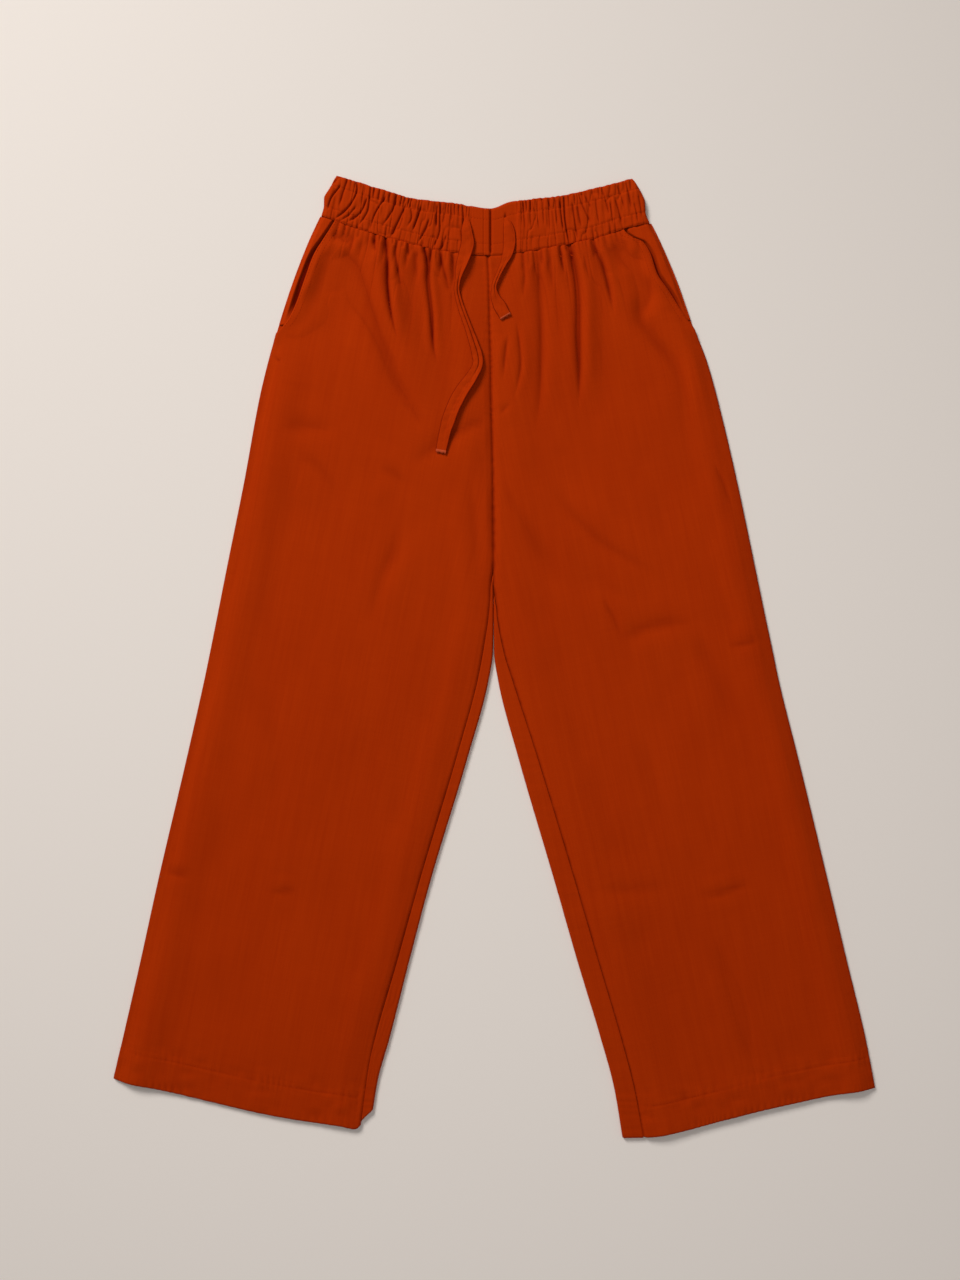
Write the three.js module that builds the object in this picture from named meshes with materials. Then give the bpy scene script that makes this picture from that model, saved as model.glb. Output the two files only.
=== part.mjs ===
// Palazzo trousers laid flat: wide straight legs, a gathered elastic waistband with a flat centre front,
// slant side pockets and a flat drawstring whose two ends lie free on the front.
// Millimetres. +Y runs to the waist, -Y to the hems, +Z is up, and z = 0 is the surface they lie on.
// Right and left are the wearer's, so the right leg lies on the -X side.
import * as THREE from "three";

// Driving dimensions of the cloth
const CLOTH = 1.5; // one layer of cloth
const FACING_CLOTH = 1.2; // the thin facing inside each pocket mouth
const BAND_CLOTH = 1.7; // the waistband's outer layer on its elastic
const BAND_BACK = 2; // the back waistband, pressed flat on the surface
const HEM_DEPTH = 37; // the turned-up hem, two layers thick
const HEM_EXTRA = 0.9; // what the hem's second layer adds
const SEAM_GAP = 0.4; // between pieces along a seam
const LAYER_GAP = 0.3; // between pieces that lie on each other
const TIE_GAP = 0.5; // under the drawstring

// Heights of the front layer's underside above the surface
const EDGE_REST = CLOTH + LAYER_GAP;
const SEAM_REST = 3; // along the inseams, which the back panels carry round from below
const BODY_REST = 3.5; // across the legs
const SIDE_ROLL = 16; // how far from a side seam the front takes to rise
const LEG_FULLNESS = 2.4; // air held along the sides of each leg
const FULL_AWAY = 24; // how far from the edges that air is deepest
const FULL_SPREAD = 16;
const INNER_FULLNESS = 0.7; // what the inner edge has of it
const RELIEF_START = 12; // how far below the waist seam the cloth starts to move freely
const FOLD_START = 30; // and where the long folds reach their full height
const MOUTH_CLOSE = 14; // over what length a pocket's mouth closes at its lower end
const FACING_REST = EDGE_REST + FACING_CLOTH + 0.35; // over a pocket's facing
const BAND_PUFF = 1; // the band's channels between its stitch rows
const BAND_SIDE_ROLL = 9; // how far from its sides the band takes to rise
const ROW_SPREAD = 0.09; // how far a stitch row draws the band in, as a share of its height
const ROW_DRAWN = 0.5; // what a stitch row takes off a gather
const TOP_DRAWN = 0.45; // and what the top edge takes off
const TOP_FROM = 0.8; // where the band starts to close towards its top edge
const BACK_PEEK = 1; // how far the back of the waist shows above the front

// Construction lines
const CROTCH_Y = 150;
const CROTCH_EASE = 18; // how far above the crotch the front's inner edge starts to draw back
const CROTCH_CLEAR = 5; // and where it is clear of the turned edge
const SEAM_SETTLE = 8; // how far from an inseam the front takes to rise
const FOLD_MIN = 3; // the least that a back panel turns over at the inner edge
const FACING_UNDER = 14; // how far a facing runs on under the front
const STITCH_ROWS = [0.245, 0.755]; // the elastic's two stitch rows, as shares of the band's height
const FLAT_FROM = -24; // the ungathered centre front of the band
const FLAT_TO = 23;
const FLAT_RISE = 1.2; // the flat centre between the first gathers
const GATHER_MOST = 4.4; // the tallest gather
const GATHER_SHARE = 0.38; // a gather's height for its width
const GATHER_FADE = 30; // how far gathers run on into the legs
const GATHER_FAN = 0.0014; // how they spread as they go, per millimetre
const RUFFLE = 0.3; // how much the waist's edge frills, for a gather's height
const SWELL_AWAY = 2.1; // where a long fold's swells stand, in its widths
const SWELL_WIDE = 1.5;
const FOLD_IN = 0.15; // how a long fold starts and fades, as shares of its length
const FOLD_FADE = [0.6, 1.2];

// Drawstring
const TIE_WIDTH = 13;
const TIE_CLOTH = 2;
const TIE_STEP = 8;
const TIE_SECTION = [
  { s: -1, thick: 0.45 },
  { s: -0.72, thick: 1 },
  { s: 0.72, thick: 1 },
  { s: 1, thick: 0.45 },
];

// Rows of the walls, as shares of the way from the waist seam to the hem, or up the waistband
const GATHERED_ROWS = [0, 0.01, 0.024];
const FOLDED_ROWS = [0.042, 0.064, 0.09, 0.12, 0.15, 0.19, 0.23];
const HEM_ROWS = [0.956, 0.978, 1];
const BAND_ROWS = [1, 0.9, 0.755, 0.6, 0.4, 0.245, 0.12, 0];
// Rows that the front and back panels share, as the height that each has at the inner edge
const CROTCH_ROWS = [180, 168, 155];
const THIGH_ROWS = [139, 112, 88, 66, 46, 27, 8, -10, -30, -55, -90];
const CALF_ROWS = [-130, -170, -210, -250, -290, -330, -370, -408];
const INSEAM_ROWS = [...THIGH_ROWS, ...CALF_ROWS];
const FOLDED_STATIONS = 30;
const LEG_STATIONS = 20;
const WAIST_STATIONS = 12;
const FLAT_STATIONS = 4;
const TURN_STATIONS = 5;
const TURN_LEAST = 0.3;
// How a back panel's inner edge turns over, just below the crotch; turned 1 is right over.
const CROTCH_TURN = [
  { below: 0, turned: 0.12 },
  { below: 2, turned: 0.3 },
  { below: 4, turned: 0.5 },
  { below: 6, turned: 0.7 },
  { below: 8, turned: 0.85 },
  { below: 11, turned: 1 },
];

// Colours
const RUST = 0x9e2a05;
const RUST_SHADE = 0x8a2204;

// The legs' sections: the side seam, the inseam on the front face, and the inner edge.
const RIGHT_SECTIONS = [
  { y: 455, outer: -175, seam: -7, inner: -7 },
  { y: 425, outer: -189, seam: -7, inner: -7 },
  { y: 384, outer: -205, seam: -5.4, inner: -5.4 },
  { y: 343, outer: -218.5, seam: -4.4, inner: -4.4 },
  { y: 302, outer: -230.5, seam: -3.4, inner: -3.4 },
  { y: 262, outer: -240, seam: -2.8, inner: -2.8 },
  { y: 180, outer: -255, seam: -1, inner: -1 },
  { y: 98, outer: -271.5, seam: -1.4, inner: -0.6 },
  { y: 45, outer: -282, seam: -5, inner: -0.6 },
  { y: 5, outer: -290, seam: -11, inner: -1.2 },
  { y: -24, outer: -296, seam: -16.5, inner: -5.5 },
  { y: -106, outer: -314.5, seam: -39, inner: -27.8 },
  { y: -228, outer: -343, seam: -75.5, inner: -64.6 },
  { y: -310, outer: -361, seam: -98.5, inner: -86.4 },
  { y: -391, outer: -379.5, seam: -121.5, inner: -107 },
  { y: -432, outer: -389, seam: -129.5, inner: -118.6 },
  { y: -485, outer: -401, seam: -137, inner: -127 },
];
const LEFT_SECTIONS = [
  { y: 455, outer: 154, seam: -7, inner: -7 },
  { y: 425, outer: 169, seam: -7, inner: -7 },
  { y: 384, outer: 186.5, seam: -5.4, inner: -5.4 },
  { y: 343, outer: 201, seam: -4.4, inner: -4.4 },
  { y: 302, outer: 217, seam: -3.4, inner: -3.4 },
  { y: 262, outer: 228.3, seam: -2.8, inner: -2.8 },
  { y: 180, outer: 247.7, seam: -1, inner: -1 },
  { y: 98, outer: 265, seam: 0, inner: -0.6 },
  { y: 45, outer: 276, seam: 2.5, inner: -0.6 },
  { y: 5, outer: 284.5, seam: 9.5, inner: -0.2 },
  { y: -24, outer: 290.5, seam: 18.5, inner: 3.8 },
  { y: -106, outer: 311, seam: 45, inner: 25.3 },
  { y: -228, outer: 340.5, seam: 82, inner: 61 },
  { y: -310, outer: 360, seam: 106, inner: 84.5 },
  { y: -391, outer: 379.5, seam: 130, inner: 109 },
  { y: -441, outer: 389, seam: 143, inner: 122.5 },
  { y: -495, outer: 399, seam: 153, inner: 131.5 },
];
// The front panels' pocket mouths, from the waistband down to the side seam.
const RIGHT_MOUTH = [
  { y: 446, x: -161 },
  { y: 432, x: -170 },
  { y: 411, x: -183 },
  { y: 386, x: -192.5 },
  { y: 364, x: -200.5 },
  { y: 345, x: -209.5 },
  { y: 330, x: -222 },
];
const LEFT_MOUTH = [
  { y: 440, x: 132 },
  { y: 432, x: 137 },
  { y: 416, x: 148 },
  { y: 402, x: 158 },
  { y: 388, x: 166.5 },
  { y: 369, x: 178.5 },
  { y: 348, x: 193.5 },
  { y: 335, x: 204 },
];
// The hems, from side to side.
const RIGHT_HEM = [
  { x: -402, y: -428 },
  { x: -389, y: -431.5 },
  { x: -336, y: -443.5 },
  { x: -289, y: -455 },
  { x: -231, y: -468 },
  { x: -186, y: -475.5 },
  { x: -158, y: -479 },
  { x: -142, y: -482.5 },
  { x: -131, y: -472 },
  { x: -120, y: -461 },
];
const LEFT_HEM = [
  { x: 120, y: -492 },
  { x: 131, y: -491.5 },
  { x: 153, y: -491 },
  { x: 193, y: -484 },
  { x: 233, y: -473.5 },
  { x: 282, y: -461.5 },
  { x: 321, y: -453 },
  { x: 361, y: -445 },
  { x: 389, y: -441 },
  { x: 402, y: -439 },
];
// The waistband's lower seam and its top edge.
const BAND_SEAM = [
  { x: -178, y: 450 },
  { x: -125, y: 431.5 },
  { x: -88, y: 421.5 },
  { x: -57, y: 414 },
  { x: -4, y: 409 },
  { x: 30, y: 412.5 },
  { x: 68, y: 419 },
  { x: 99, y: 425 },
  { x: 136, y: 437 },
  { x: 162, y: 443 },
];
const BAND_TOP = [
  { x: -162, y: 491 },
  { x: -118, y: 478 },
  { x: -82, y: 467.5 },
  { x: -36, y: 462 },
  { x: -4, y: 457 },
  { x: 17, y: 464 },
  { x: 68, y: 470.5 },
  { x: 99, y: 477 },
  { x: 143, y: 488.5 },
];
// The band's two side edges, from its seam (0) to its top edge (1).
const BAND_SIDES = [
  { up: 0, right: -176.3, left: 158.5 },
  { up: 0.26, right: -173.6, left: 154.2 },
  { up: 0.45, right: -173.4, left: 153.8 },
  { up: 0.62, right: -169.8, left: 151.5 },
  { up: 0.8, right: -165.5, left: 147.3 },
  { up: 1, right: -161, left: 141 },
];
// The creases between gathers, at the middle of the band's height; deep 1 reaches the elastic.
const GATHERS = [
  { x: -164.4, deep: 0.8 },
  { x: -156.3, deep: 0.9 },
  { x: -147.1, deep: 1 },
  { x: -136.9, deep: 0.7 },
  { x: -127, deep: 0.5 },
  { x: -118.5, deep: 1 },
  { x: -106.3, deep: 0.9 },
  { x: -95.1, deep: 1 },
  { x: -85.9, deep: 0.8 },
  { x: -78.7, deep: 0.7 },
  { x: -70.6, deep: 1 },
  { x: -59.4, deep: 0.6 },
  { x: -54.3, deep: 0.8 },
  { x: -44.1, deep: 0.9 },
  { x: -31.8, deep: 1 },
  { x: 28.4, deep: 0.9 },
  { x: 35, deep: 0.6 },
  { x: 41.5, deep: 0.9 },
  { x: 48.5, deep: 0.8 },
  { x: 56, deep: 1 },
  { x: 63, deep: 0.7 },
  { x: 70.5, deep: 1 },
  { x: 81.4, deep: 0.7 },
  { x: 87, deep: 0.8 },
  { x: 96, deep: 0.9 },
  { x: 108.9, deep: 1 },
  { x: 116, deep: 0.6 },
  { x: 124.5, deep: 0.9 },
  { x: 131.5, deep: 0.7 },
  { x: 138.5, deep: 1 },
  { x: 145.5, deep: 0.8 },
];
// The long folds of the front. Each is a soft trough with a swell on both sides of it.
const FOLDS = [
  { from: [-111, 430], via: [-109, 385], to: [-98, 319], wide: 6, deep: 1.5, swell: 3.9 },
  { from: [-71, 417], via: [-67, 372], to: [-58, 297], wide: 6, deep: 1.5, swell: 3.6 },
  { from: [-148, 405], via: [-131, 345], to: [-110, 269], wide: 9, deep: 1.2, swell: 2.8 },
  { from: [-36, 411], via: [-33, 370], to: [-30, 335], wide: 5, deep: 1.1, swell: 2.4 },
  { from: [78, 420], via: [86, 350], to: [85, 250], wide: 7, deep: 1.7, swell: 4.8 },
  { from: [101, 424], via: [113, 388], to: [122, 340], wide: 6, deep: 1.3, swell: 3.6 },
  { from: [124, 424], via: [158, 372], to: [188, 288], wide: 8, deep: 1.2, swell: 3 },
  { from: [45, 414], via: [50, 330], to: [41, 227], wide: 7, deep: 1.3, swell: 3.3 },
  { from: [12, 335], via: [22, 300], to: [17, 255], wide: 5, deep: 1, swell: 2.2 },
  { from: [-95, 141], via: [-106, 105], to: [-125, 37], wide: 8, deep: 1.2, swell: 2.7 },
  { from: [110, 62], via: [123, 42], to: [131, 12], wide: 7, deep: 1.2, swell: 2.7 },
  { from: [135, 20], via: [166, 35], to: [204, 33], wide: 8, deep: 1.1, swell: 2.5 },
  { from: [225, 197], via: [237, 175], to: [244, 145], wide: 8, deep: 1, swell: 2.2 },
  { from: [-32, 215], via: [-16, 150], to: [-19, 66], wide: 9, deep: 1.2, swell: 2.4 },
  { from: [222, -279], via: [252, -362], to: [271, -454], wide: 12, deep: 0.8, swell: 2 },
];
// The drawstring's routes, from each eyelet to its free end.
const RIGHT_TIE = [
  { x: -28, y: 446, wide: 1 },
  { x: -28, y: 433, wide: 1 },
  { x: -27, y: 421, wide: 1 },
  { x: -30, y: 409, wide: 1 },
  { x: -34, y: 396, wide: 0.85 },
  { x: -37, y: 383, wide: 0.7 },
  { x: -38, y: 373, wide: 0.7 },
  { x: -36, y: 363, wide: 0.75 },
  { x: -33, y: 353, wide: 0.8 },
  { x: -29, y: 342, wide: 0.8 },
  { x: -25, y: 331, wide: 0.75 },
  { x: -21, y: 319, wide: 0.8 },
  { x: -17.5, y: 307, wide: 0.85 },
  { x: -17, y: 296, wide: 0.95 },
  { x: -24, y: 283, wide: 1 },
  { x: -33, y: 270, wide: 1 },
  { x: -40.5, y: 256, wide: 1 },
  { x: -46, y: 242, wide: 0.95 },
  { x: -50.5, y: 227, wide: 0.9 },
  { x: -54.5, y: 208, wide: 0.85 },
];
const LEFT_TIE = [
  { x: 12, y: 448, wide: 1 },
  { x: 14.5, y: 437, wide: 1 },
  { x: 15.5, y: 425, wide: 1 },
  { x: 14, y: 412, wide: 1 },
  { x: 9.5, y: 400, wide: 1 },
  { x: 4, y: 388, wide: 0.9 },
  { x: 0, y: 377, wide: 0.75 },
  { x: 1, y: 366, wide: 0.8 },
  { x: 6, y: 356, wide: 1 },
  { x: 11.5, y: 346, wide: 1 },
];

const mix = (a, b, share) => a + (b - a) * share;
const clamp = (value, low, high) => Math.min(high, Math.max(low, value));
const bell = (distance, wide) => Math.exp(-((distance / wide) ** 2));

function ease(from, to, value) {
  const share = clamp((value - from) / (to - from), 0, 1);
  return share * share * (3 - 2 * share);
}

// A smooth curve through a table's rows that doesn't overshoot them, as a function of one column.
function curve(table, input, output) {
  const rows = [...table].sort((a, b) => a[input] - b[input]);
  const xs = rows.map((row) => row[input]);
  const ys = rows.map((row) => row[output]);
  const slopes = xs.slice(1).map((x, i) => (ys[i + 1] - ys[i]) / (x - xs[i]));
  const tangents = xs.map((x, i) => {
    const before = slopes[Math.max(i - 1, 0)];
    const after = slopes[Math.min(i, slopes.length - 1)];
    return before * after > 0 ? (2 * before * after) / (before + after) : 0;
  });
  return (value) => {
    let i = 0;
    while (i < slopes.length - 1 && value > xs[i + 1]) i += 1;
    const span = xs[i + 1] - xs[i];
    const t = clamp((value - xs[i]) / span, 0, 1);
    const past = value - clamp(value, xs[0], xs[xs.length - 1]);
    const start = ys[i] * (1 + 2 * t) * (1 - t) ** 2 + tangents[i] * span * t * (1 - t) ** 2;
    const end = ys[i + 1] * t * t * (3 - 2 * t) - tangents[i + 1] * span * t * t * (1 - t);
    return start + end + past * (past < 0 ? tangents[0] : tangents[tangents.length - 1]);
  };
}

const bandSeam = curve(BAND_SEAM, "x", "y");
const bandTop = curve(BAND_TOP, "x", "y");
const bandRight = curve(BAND_SIDES, "up", "right");
const bandLeft = curve(BAND_SIDES, "up", "left");

// The corner where an edge meets the waist seam, and the one where it meets the hem.
function waistCorner(edgeAt, startX) {
  let x = startX;
  for (let turn = 0; turn < 30; turn += 1) x = edgeAt(bandSeam(x) - SEAM_GAP);
  return x;
}

function hemCorner(edgeAt, hem, startX) {
  let x = startX;
  for (let turn = 0; turn < 30; turn += 1) x = edgeAt(hem(x));
  return x;
}

function makeLeg(name, side, sections, mouthRows, hemRows) {
  const outer = curve(sections, "y", "outer");
  const seam = curve(sections, "y", "seam");
  const inner = curve(sections, "y", "inner");
  const mouth = curve(mouthRows, "y", "x");
  const mouthEnd = mouthRows[mouthRows.length - 1].y;
  const turn = (y) => Math.max(side * (seam(y) - inner(y)), FOLD_MIN);
  const belowCrotch = (y) => ease(CROTCH_Y + CROTCH_EASE, CROTCH_Y + CROTCH_CLEAR, y);
  return {
    name,
    side,
    turn,
    mouth,
    mouthEnd,
    outer,
    hem: curve(hemRows, "x", "y"),
    backInner: (y) => inner(y) + (side * SEAM_GAP) / 2,
    frontOuter: (y) => (y > mouthEnd ? mouth(y) : outer(y)),
    belowCrotch,
    frontInner: (y) => inner(y) + side * mix(SEAM_GAP / 2, turn(y) + SEAM_GAP, belowCrotch(y)),
  };
}

const LEGS = [
  makeLeg("right", -1, RIGHT_SECTIONS, RIGHT_MOUTH, RIGHT_HEM),
  makeLeg("left", 1, LEFT_SECTIONS, LEFT_MOUTH, LEFT_HEM),
];

// Closed wall from rows of stations, each with a point on the cloth's outside and one on its inside.
function wall(rows) {
  const points = [];
  const faces = [];
  const placed = rows.map((row) =>
    row.map((station) => {
      points.push(station.out, station.in);
      return { at: station.at, out: points.length - 2, in: points.length - 1 };
    }),
  );
  const face = (a, b, c) => faces.push([a, b, c]);
  for (let r = 0; r < placed.length - 1; r += 1) {
    const [above, below] = [placed[r], placed[r + 1]];
    let i = 0;
    let j = 0;
    while (i < above.length - 1 || j < below.length - 1) {
      const nextAbove = i < above.length - 1 ? above[i + 1].at : Infinity;
      const nextBelow = j < below.length - 1 ? below[j + 1].at : Infinity;
      const fromAbove = nextAbove <= nextBelow;
      const third = fromAbove ? above[i + 1] : below[j + 1];
      face(above[i].out, below[j].out, third.out);
      face(above[i].in, third.in, below[j].in);
      if (fromAbove) i += 1;
      else j += 1;
    }
    const [endAbove, endBelow] = [above[above.length - 1], below[below.length - 1]];
    face(above[0].out, above[0].in, below[0].out);
    face(below[0].out, above[0].in, below[0].in);
    face(endAbove.out, endBelow.out, endAbove.in);
    face(endBelow.out, endBelow.in, endAbove.in);
  }
  const first = placed[0];
  for (let i = 0; i < first.length - 1; i += 1) {
    face(first[i].out, first[i + 1].out, first[i].in);
    face(first[i + 1].out, first[i + 1].in, first[i].in);
  }
  const last = placed[placed.length - 1];
  for (let i = 0; i < last.length - 1; i += 1) {
    face(last[i].out, last[i].in, last[i + 1].out);
    face(last[i + 1].out, last[i].in, last[i + 1].in);
  }
  return closedGeometry(points, faces);
}

// Geometry with its faces turned outward, whichever way its rows ran.
function closedGeometry(points, faces) {
  const volume = faces.reduce((sum, [a, b, c]) => {
    const normal = new THREE.Vector3().crossVectors(points[b], points[c]);
    return sum + points[a].dot(normal);
  }, 0);
  const index = faces.flatMap(([a, b, c]) => (volume > 0 ? [a, b, c] : [a, c, b]));
  const geometry = new THREE.BufferGeometry();
  const flat = points.flatMap((point) => [point.x, point.y, point.z]);
  geometry.setAttribute("position", new THREE.Float32BufferAttribute(flat, 3));
  geometry.setIndex(index);
  geometry.computeVertexNormals();
  return geometry;
}

// A station on cloth that lies level: its underside at rest, its upper side a wall's thickness above.
function levelStation(at, x, y, rest, thick) {
  return { at, out: new THREE.Vector3(x, y, rest + thick), in: new THREE.Vector3(x, y, rest) };
}

const evenShares = (count) => Array.from({ length: count + 1 }, (_, i) => i / count);

// Where x lies across the band at a share of its height, from 0 to 1.
function acrossBand(x, up) {
  return (x - bandRight(up)) / (bandLeft(up) - bandRight(up));
}

const BAND_MIDDLE = 0.5;
const BAND_WIDTH = bandLeft(BAND_MIDDLE) - bandRight(BAND_MIDDLE);
const FLAT_MIDDLE = acrossBand((FLAT_FROM + FLAT_TO) / 2, BAND_MIDDLE);
const CREASES = [
  { across: 0, deep: 1 },
  ...GATHERS.map(({ x, deep }) => ({ across: acrossBand(x, BAND_MIDDLE), deep })),
  { across: 1, deep: 1 },
];

// How high the gathers stand at a share of the band's width.
function gatherRise(across) {
  const share = clamp(across, 0, 1);
  let i = 0;
  while (i < CREASES.length - 2 && share > CREASES[i + 1].across) i += 1;
  const [before, after] = [CREASES[i], CREASES[i + 1]];
  const width = (after.across - before.across) * BAND_WIDTH;
  const part = clamp((share - before.across) / (after.across - before.across), 0, 1);
  const isFlat = before.across < FLAT_MIDDLE && after.across > FLAT_MIDDLE;
  if (isFlat) return FLAT_RISE * Math.min(1, 6 * part, 6 * (1 - part));
  const top = Math.min(GATHER_MOST, GATHER_SHARE * width);
  const floor = top * (1 - mix(before.deep, after.deep, part));
  return floor + (top - floor) * Math.sin(Math.PI * part) ** 0.7;
}

// Shares of the band's width that a row needs to draw each gather.
function gatherStations(from, to, perGather) {
  const shares = [from, to];
  for (let i = 0; i < CREASES.length - 1; i += 1) {
    for (let step = 0; step < perGather; step += 1) {
      const share = mix(CREASES[i].across, CREASES[i + 1].across, step / perGather);
      if (share > from + 0.003 && share < to - 0.003) shares.push(share);
    }
  }
  return shares.sort((a, b) => a - b);
}

// A point on a fold's line, which bends through its middle point.
function onFold(fold, t, axis) {
  const pull = 2 * fold.via[axis] - (fold.from[axis] + fold.to[axis]) / 2;
  return (1 - t) ** 2 * fold.from[axis] + 2 * t * (1 - t) * pull + t * t * fold.to[axis];
}

// Height that the long folds add at a point.
function foldRise(x, y) {
  return FOLDS.reduce((sum, fold) => {
    const run = [fold.to[0] - fold.from[0], fold.to[1] - fold.from[1]];
    const reach = (x - fold.from[0]) * run[0] + (y - fold.from[1]) * run[1];
    const along = reach / (run[0] ** 2 + run[1] ** 2);
    const t = clamp(along, 0, 1);
    const away = Math.hypot(x - onFold(fold, t, 0), y - onFold(fold, t, 1));
    const strength = ease(-FOLD_IN, FOLD_IN, along) * (1 - ease(...FOLD_FADE, along));
    const swell = fold.swell * bell(away - SWELL_AWAY * fold.wide, SWELL_WIDE * fold.wide);
    return sum + strength * (swell - fold.deep * bell(away, fold.wide));
  }, 0);
}

// The slow rise and fall of cloth that was smoothed by hand.
function layWave(x, y) {
  return 0.5 * Math.sin(x / 31 + y / 90) + 0.5 * Math.sin(y / 47 - x / 120 + 1.3);
}

// The underside of a front panel above the surface.
function frontRest(leg, x, y) {
  const fromOuter = Math.abs(x - leg.frontOuter(y));
  const fromInner = Math.abs(x - leg.frontInner(y));
  const drop = Math.max(0, bandSeam(x) - y);
  const closed = 1 - ease(leg.mouthEnd - MOUTH_CLOSE, leg.mouthEnd, y);
  const side = Math.sin((Math.PI / 2) * clamp(fromOuter / SIDE_ROLL, 0, 1));
  const outerRest = mix(BODY_REST, mix(EDGE_REST, BODY_REST, side), closed);
  const seamed = leg.belowCrotch(y) * (1 - clamp(fromInner / SEAM_SETTLE, 0, 1));
  const innerRest = mix(BODY_REST, SEAM_REST, seamed);
  const outerFull = bell(fromOuter - FULL_AWAY, FULL_SPREAD) * closed;
  const innerFull = INNER_FULLNESS * bell(fromInner - FULL_AWAY, FULL_SPREAD);
  const full = LEG_FULLNESS * (outerFull + innerFull);
  const clear = ease(0, SIDE_ROLL, fromOuter) * ease(0, SIDE_ROLL / 2, fromInner);
  const free = foldRise(x, y) * ease(0, FOLD_START, drop) + layWave(x, y) + full;
  const relief = free * clear * ease(0, RELIEF_START, drop);
  const seamX = x / (1 + GATHER_FAN * drop);
  const gathers = gatherRise(acrossBand(seamX, 0)) * bell(drop, GATHER_FADE);
  const overFacing = ease(FACING_UNDER + 2 * SIDE_ROLL, FACING_UNDER + 8, fromOuter) * (1 - closed);
  const least = mix(EDGE_REST, FACING_REST, overFacing);
  return Math.max(least, Math.min(outerRest, innerRest) + relief + gathers);
}

// A point of a leg's panel: across 0 to 1 in +X, down 0 to 1 from the waist seam to its lower edge.
function panelPoint(panel, across, down) {
  const at = panel.edges.map((edge) => {
    const y = mix(bandSeam(edge.topX) - SEAM_GAP, panel.lower(edge.lowX), down);
    return { x: edge.at(y), y };
  });
  const [first, second] = panel.edges;
  const bowOf = (line, a, b) => line(mix(a, b, across)) - mix(line(a), line(b), across);
  const seamBow = bowOf(bandSeam, first.topX, second.topX) * (1 - down) ** 3;
  const bow = seamBow + bowOf(panel.lower, first.lowX, second.lowX) * down ** 8;
  return { x: mix(at[0].x, at[1].x, across), y: mix(at[0].y, at[1].y, across) + bow };
}

function makePanel(leg, outerAt, innerAt, lower, lowStarts) {
  const edges = [outerAt, innerAt].map((at, i) => ({
    at,
    topX: waistCorner(at, at(430)),
    lowX: hemCorner(at, lower, lowStarts[i]),
  }));
  const top = bandSeam(edges[1].topX) - SEAM_GAP;
  const downAt = (y) => (top - y) / (top - lower(edges[1].lowX));
  return { lower, downAt, edges: leg.side < 0 ? edges : edges.reverse() };
}

function frontLeg(leg) {
  const panel = makePanel(leg, leg.frontOuter, leg.frontInner, leg.hem, [leg.side * 389, leg.side * 140]);
  const seamShares = panel.edges.map((edge) => acrossBand(edge.topX, 0));
  const gathered = gatherStations(seamShares[0], seamShares[1], 4).map(
    (share) => (share - seamShares[0]) / (seamShares[1] - seamShares[0]),
  );
  const rows = [
    ...GATHERED_ROWS.map((down) => ({ down, shares: gathered })),
    ...FOLDED_ROWS.map((down) => ({ down, shares: evenShares(FOLDED_STATIONS) })),
    ...CROTCH_ROWS.map((y) => ({ down: panel.downAt(y), shares: evenShares(LEG_STATIONS) })),
    ...INSEAM_ROWS.map((y) => ({ down: panel.downAt(y), shares: evenShares(LEG_STATIONS) })),
    ...HEM_ROWS.map((down) => ({ down, shares: evenShares(LEG_STATIONS) })),
  ];
  return wall(
    rows.map(({ down, shares }) =>
      shares.map((across) => {
        const { x, y } = panelPoint(panel, across, down);
        const thick = CLOTH + HEM_EXTRA * ease(HEM_DEPTH + 4, HEM_DEPTH - 2, y - leg.hem(x));
        return levelStation(across, x, y, frontRest(leg, x, y), thick);
      }),
    ),
  );
}

// One section of a back panel. Below the crotch its inner edge turns up and over to the inseam.
function backSection(leg, panel, { down, turned, across }) {
  const inner = panelPoint(panel, leg.side < 0 ? 1 : 0, down);
  const radius = (SEAM_REST + CLOTH) / 2;
  const hub = inner.x + leg.side * radius * Math.min(1, turned * 4);
  const stations = evenShares(across).map((share) => {
    const point = panelPoint(panel, leg.side < 0 ? share : 1 - share, down);
    const x = point.x + (hub - inner.x) * share ** 4;
    return { at: share, out: new THREE.Vector3(x, point.y, 0), in: new THREE.Vector3(x, point.y, CLOTH) };
  });
  const bend = (at, angle, beyond) => {
    const [sin, cos] = [Math.sin(angle), Math.cos(angle)];
    const x = hub - leg.side * beyond * cos;
    const z = radius + beyond * sin;
    const place = (r) => new THREE.Vector3(x - leg.side * r * sin, inner.y, z - r * cos);
    return { at, out: place(radius), in: place(radius - CLOTH) };
  };
  if (turned > 0) {
    for (let i = 1; i <= TURN_STATIONS; i += 1) {
      stations.push(bend(1 + i, (Math.PI * turned * i) / TURN_STATIONS, 0));
    }
    const beyond = (leg.turn(inner.y) - radius - SEAM_GAP / 2) * turned;
    stations.push(bend(2 + TURN_STATIONS, Math.PI * turned, Math.max(beyond, TURN_LEAST)));
  }
  return stations;
}

function backLeg(leg) {
  const panel = makePanel(leg, leg.outer, leg.backInner, leg.hem, [leg.side * 389, leg.side * 124]);
  const flat = { turned: 0, across: WAIST_STATIONS };
  const rows = [
    ...evenShares(8).map((share) => ({ ...flat, down: mix(0, panel.downAt(CROTCH_Y + 2), share) })),
    ...CROTCH_TURN.map(({ below, turned }) => ({ down: panel.downAt(CROTCH_Y - below), turned })),
    ...INSEAM_ROWS.slice(1).map((y) => ({ down: panel.downAt(y), turned: 1 })),
    { down: 1, turned: 1 },
  ];
  return wall(rows.map((row) => backSection(leg, panel, { across: FLAT_STATIONS, ...row })));
}

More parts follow.
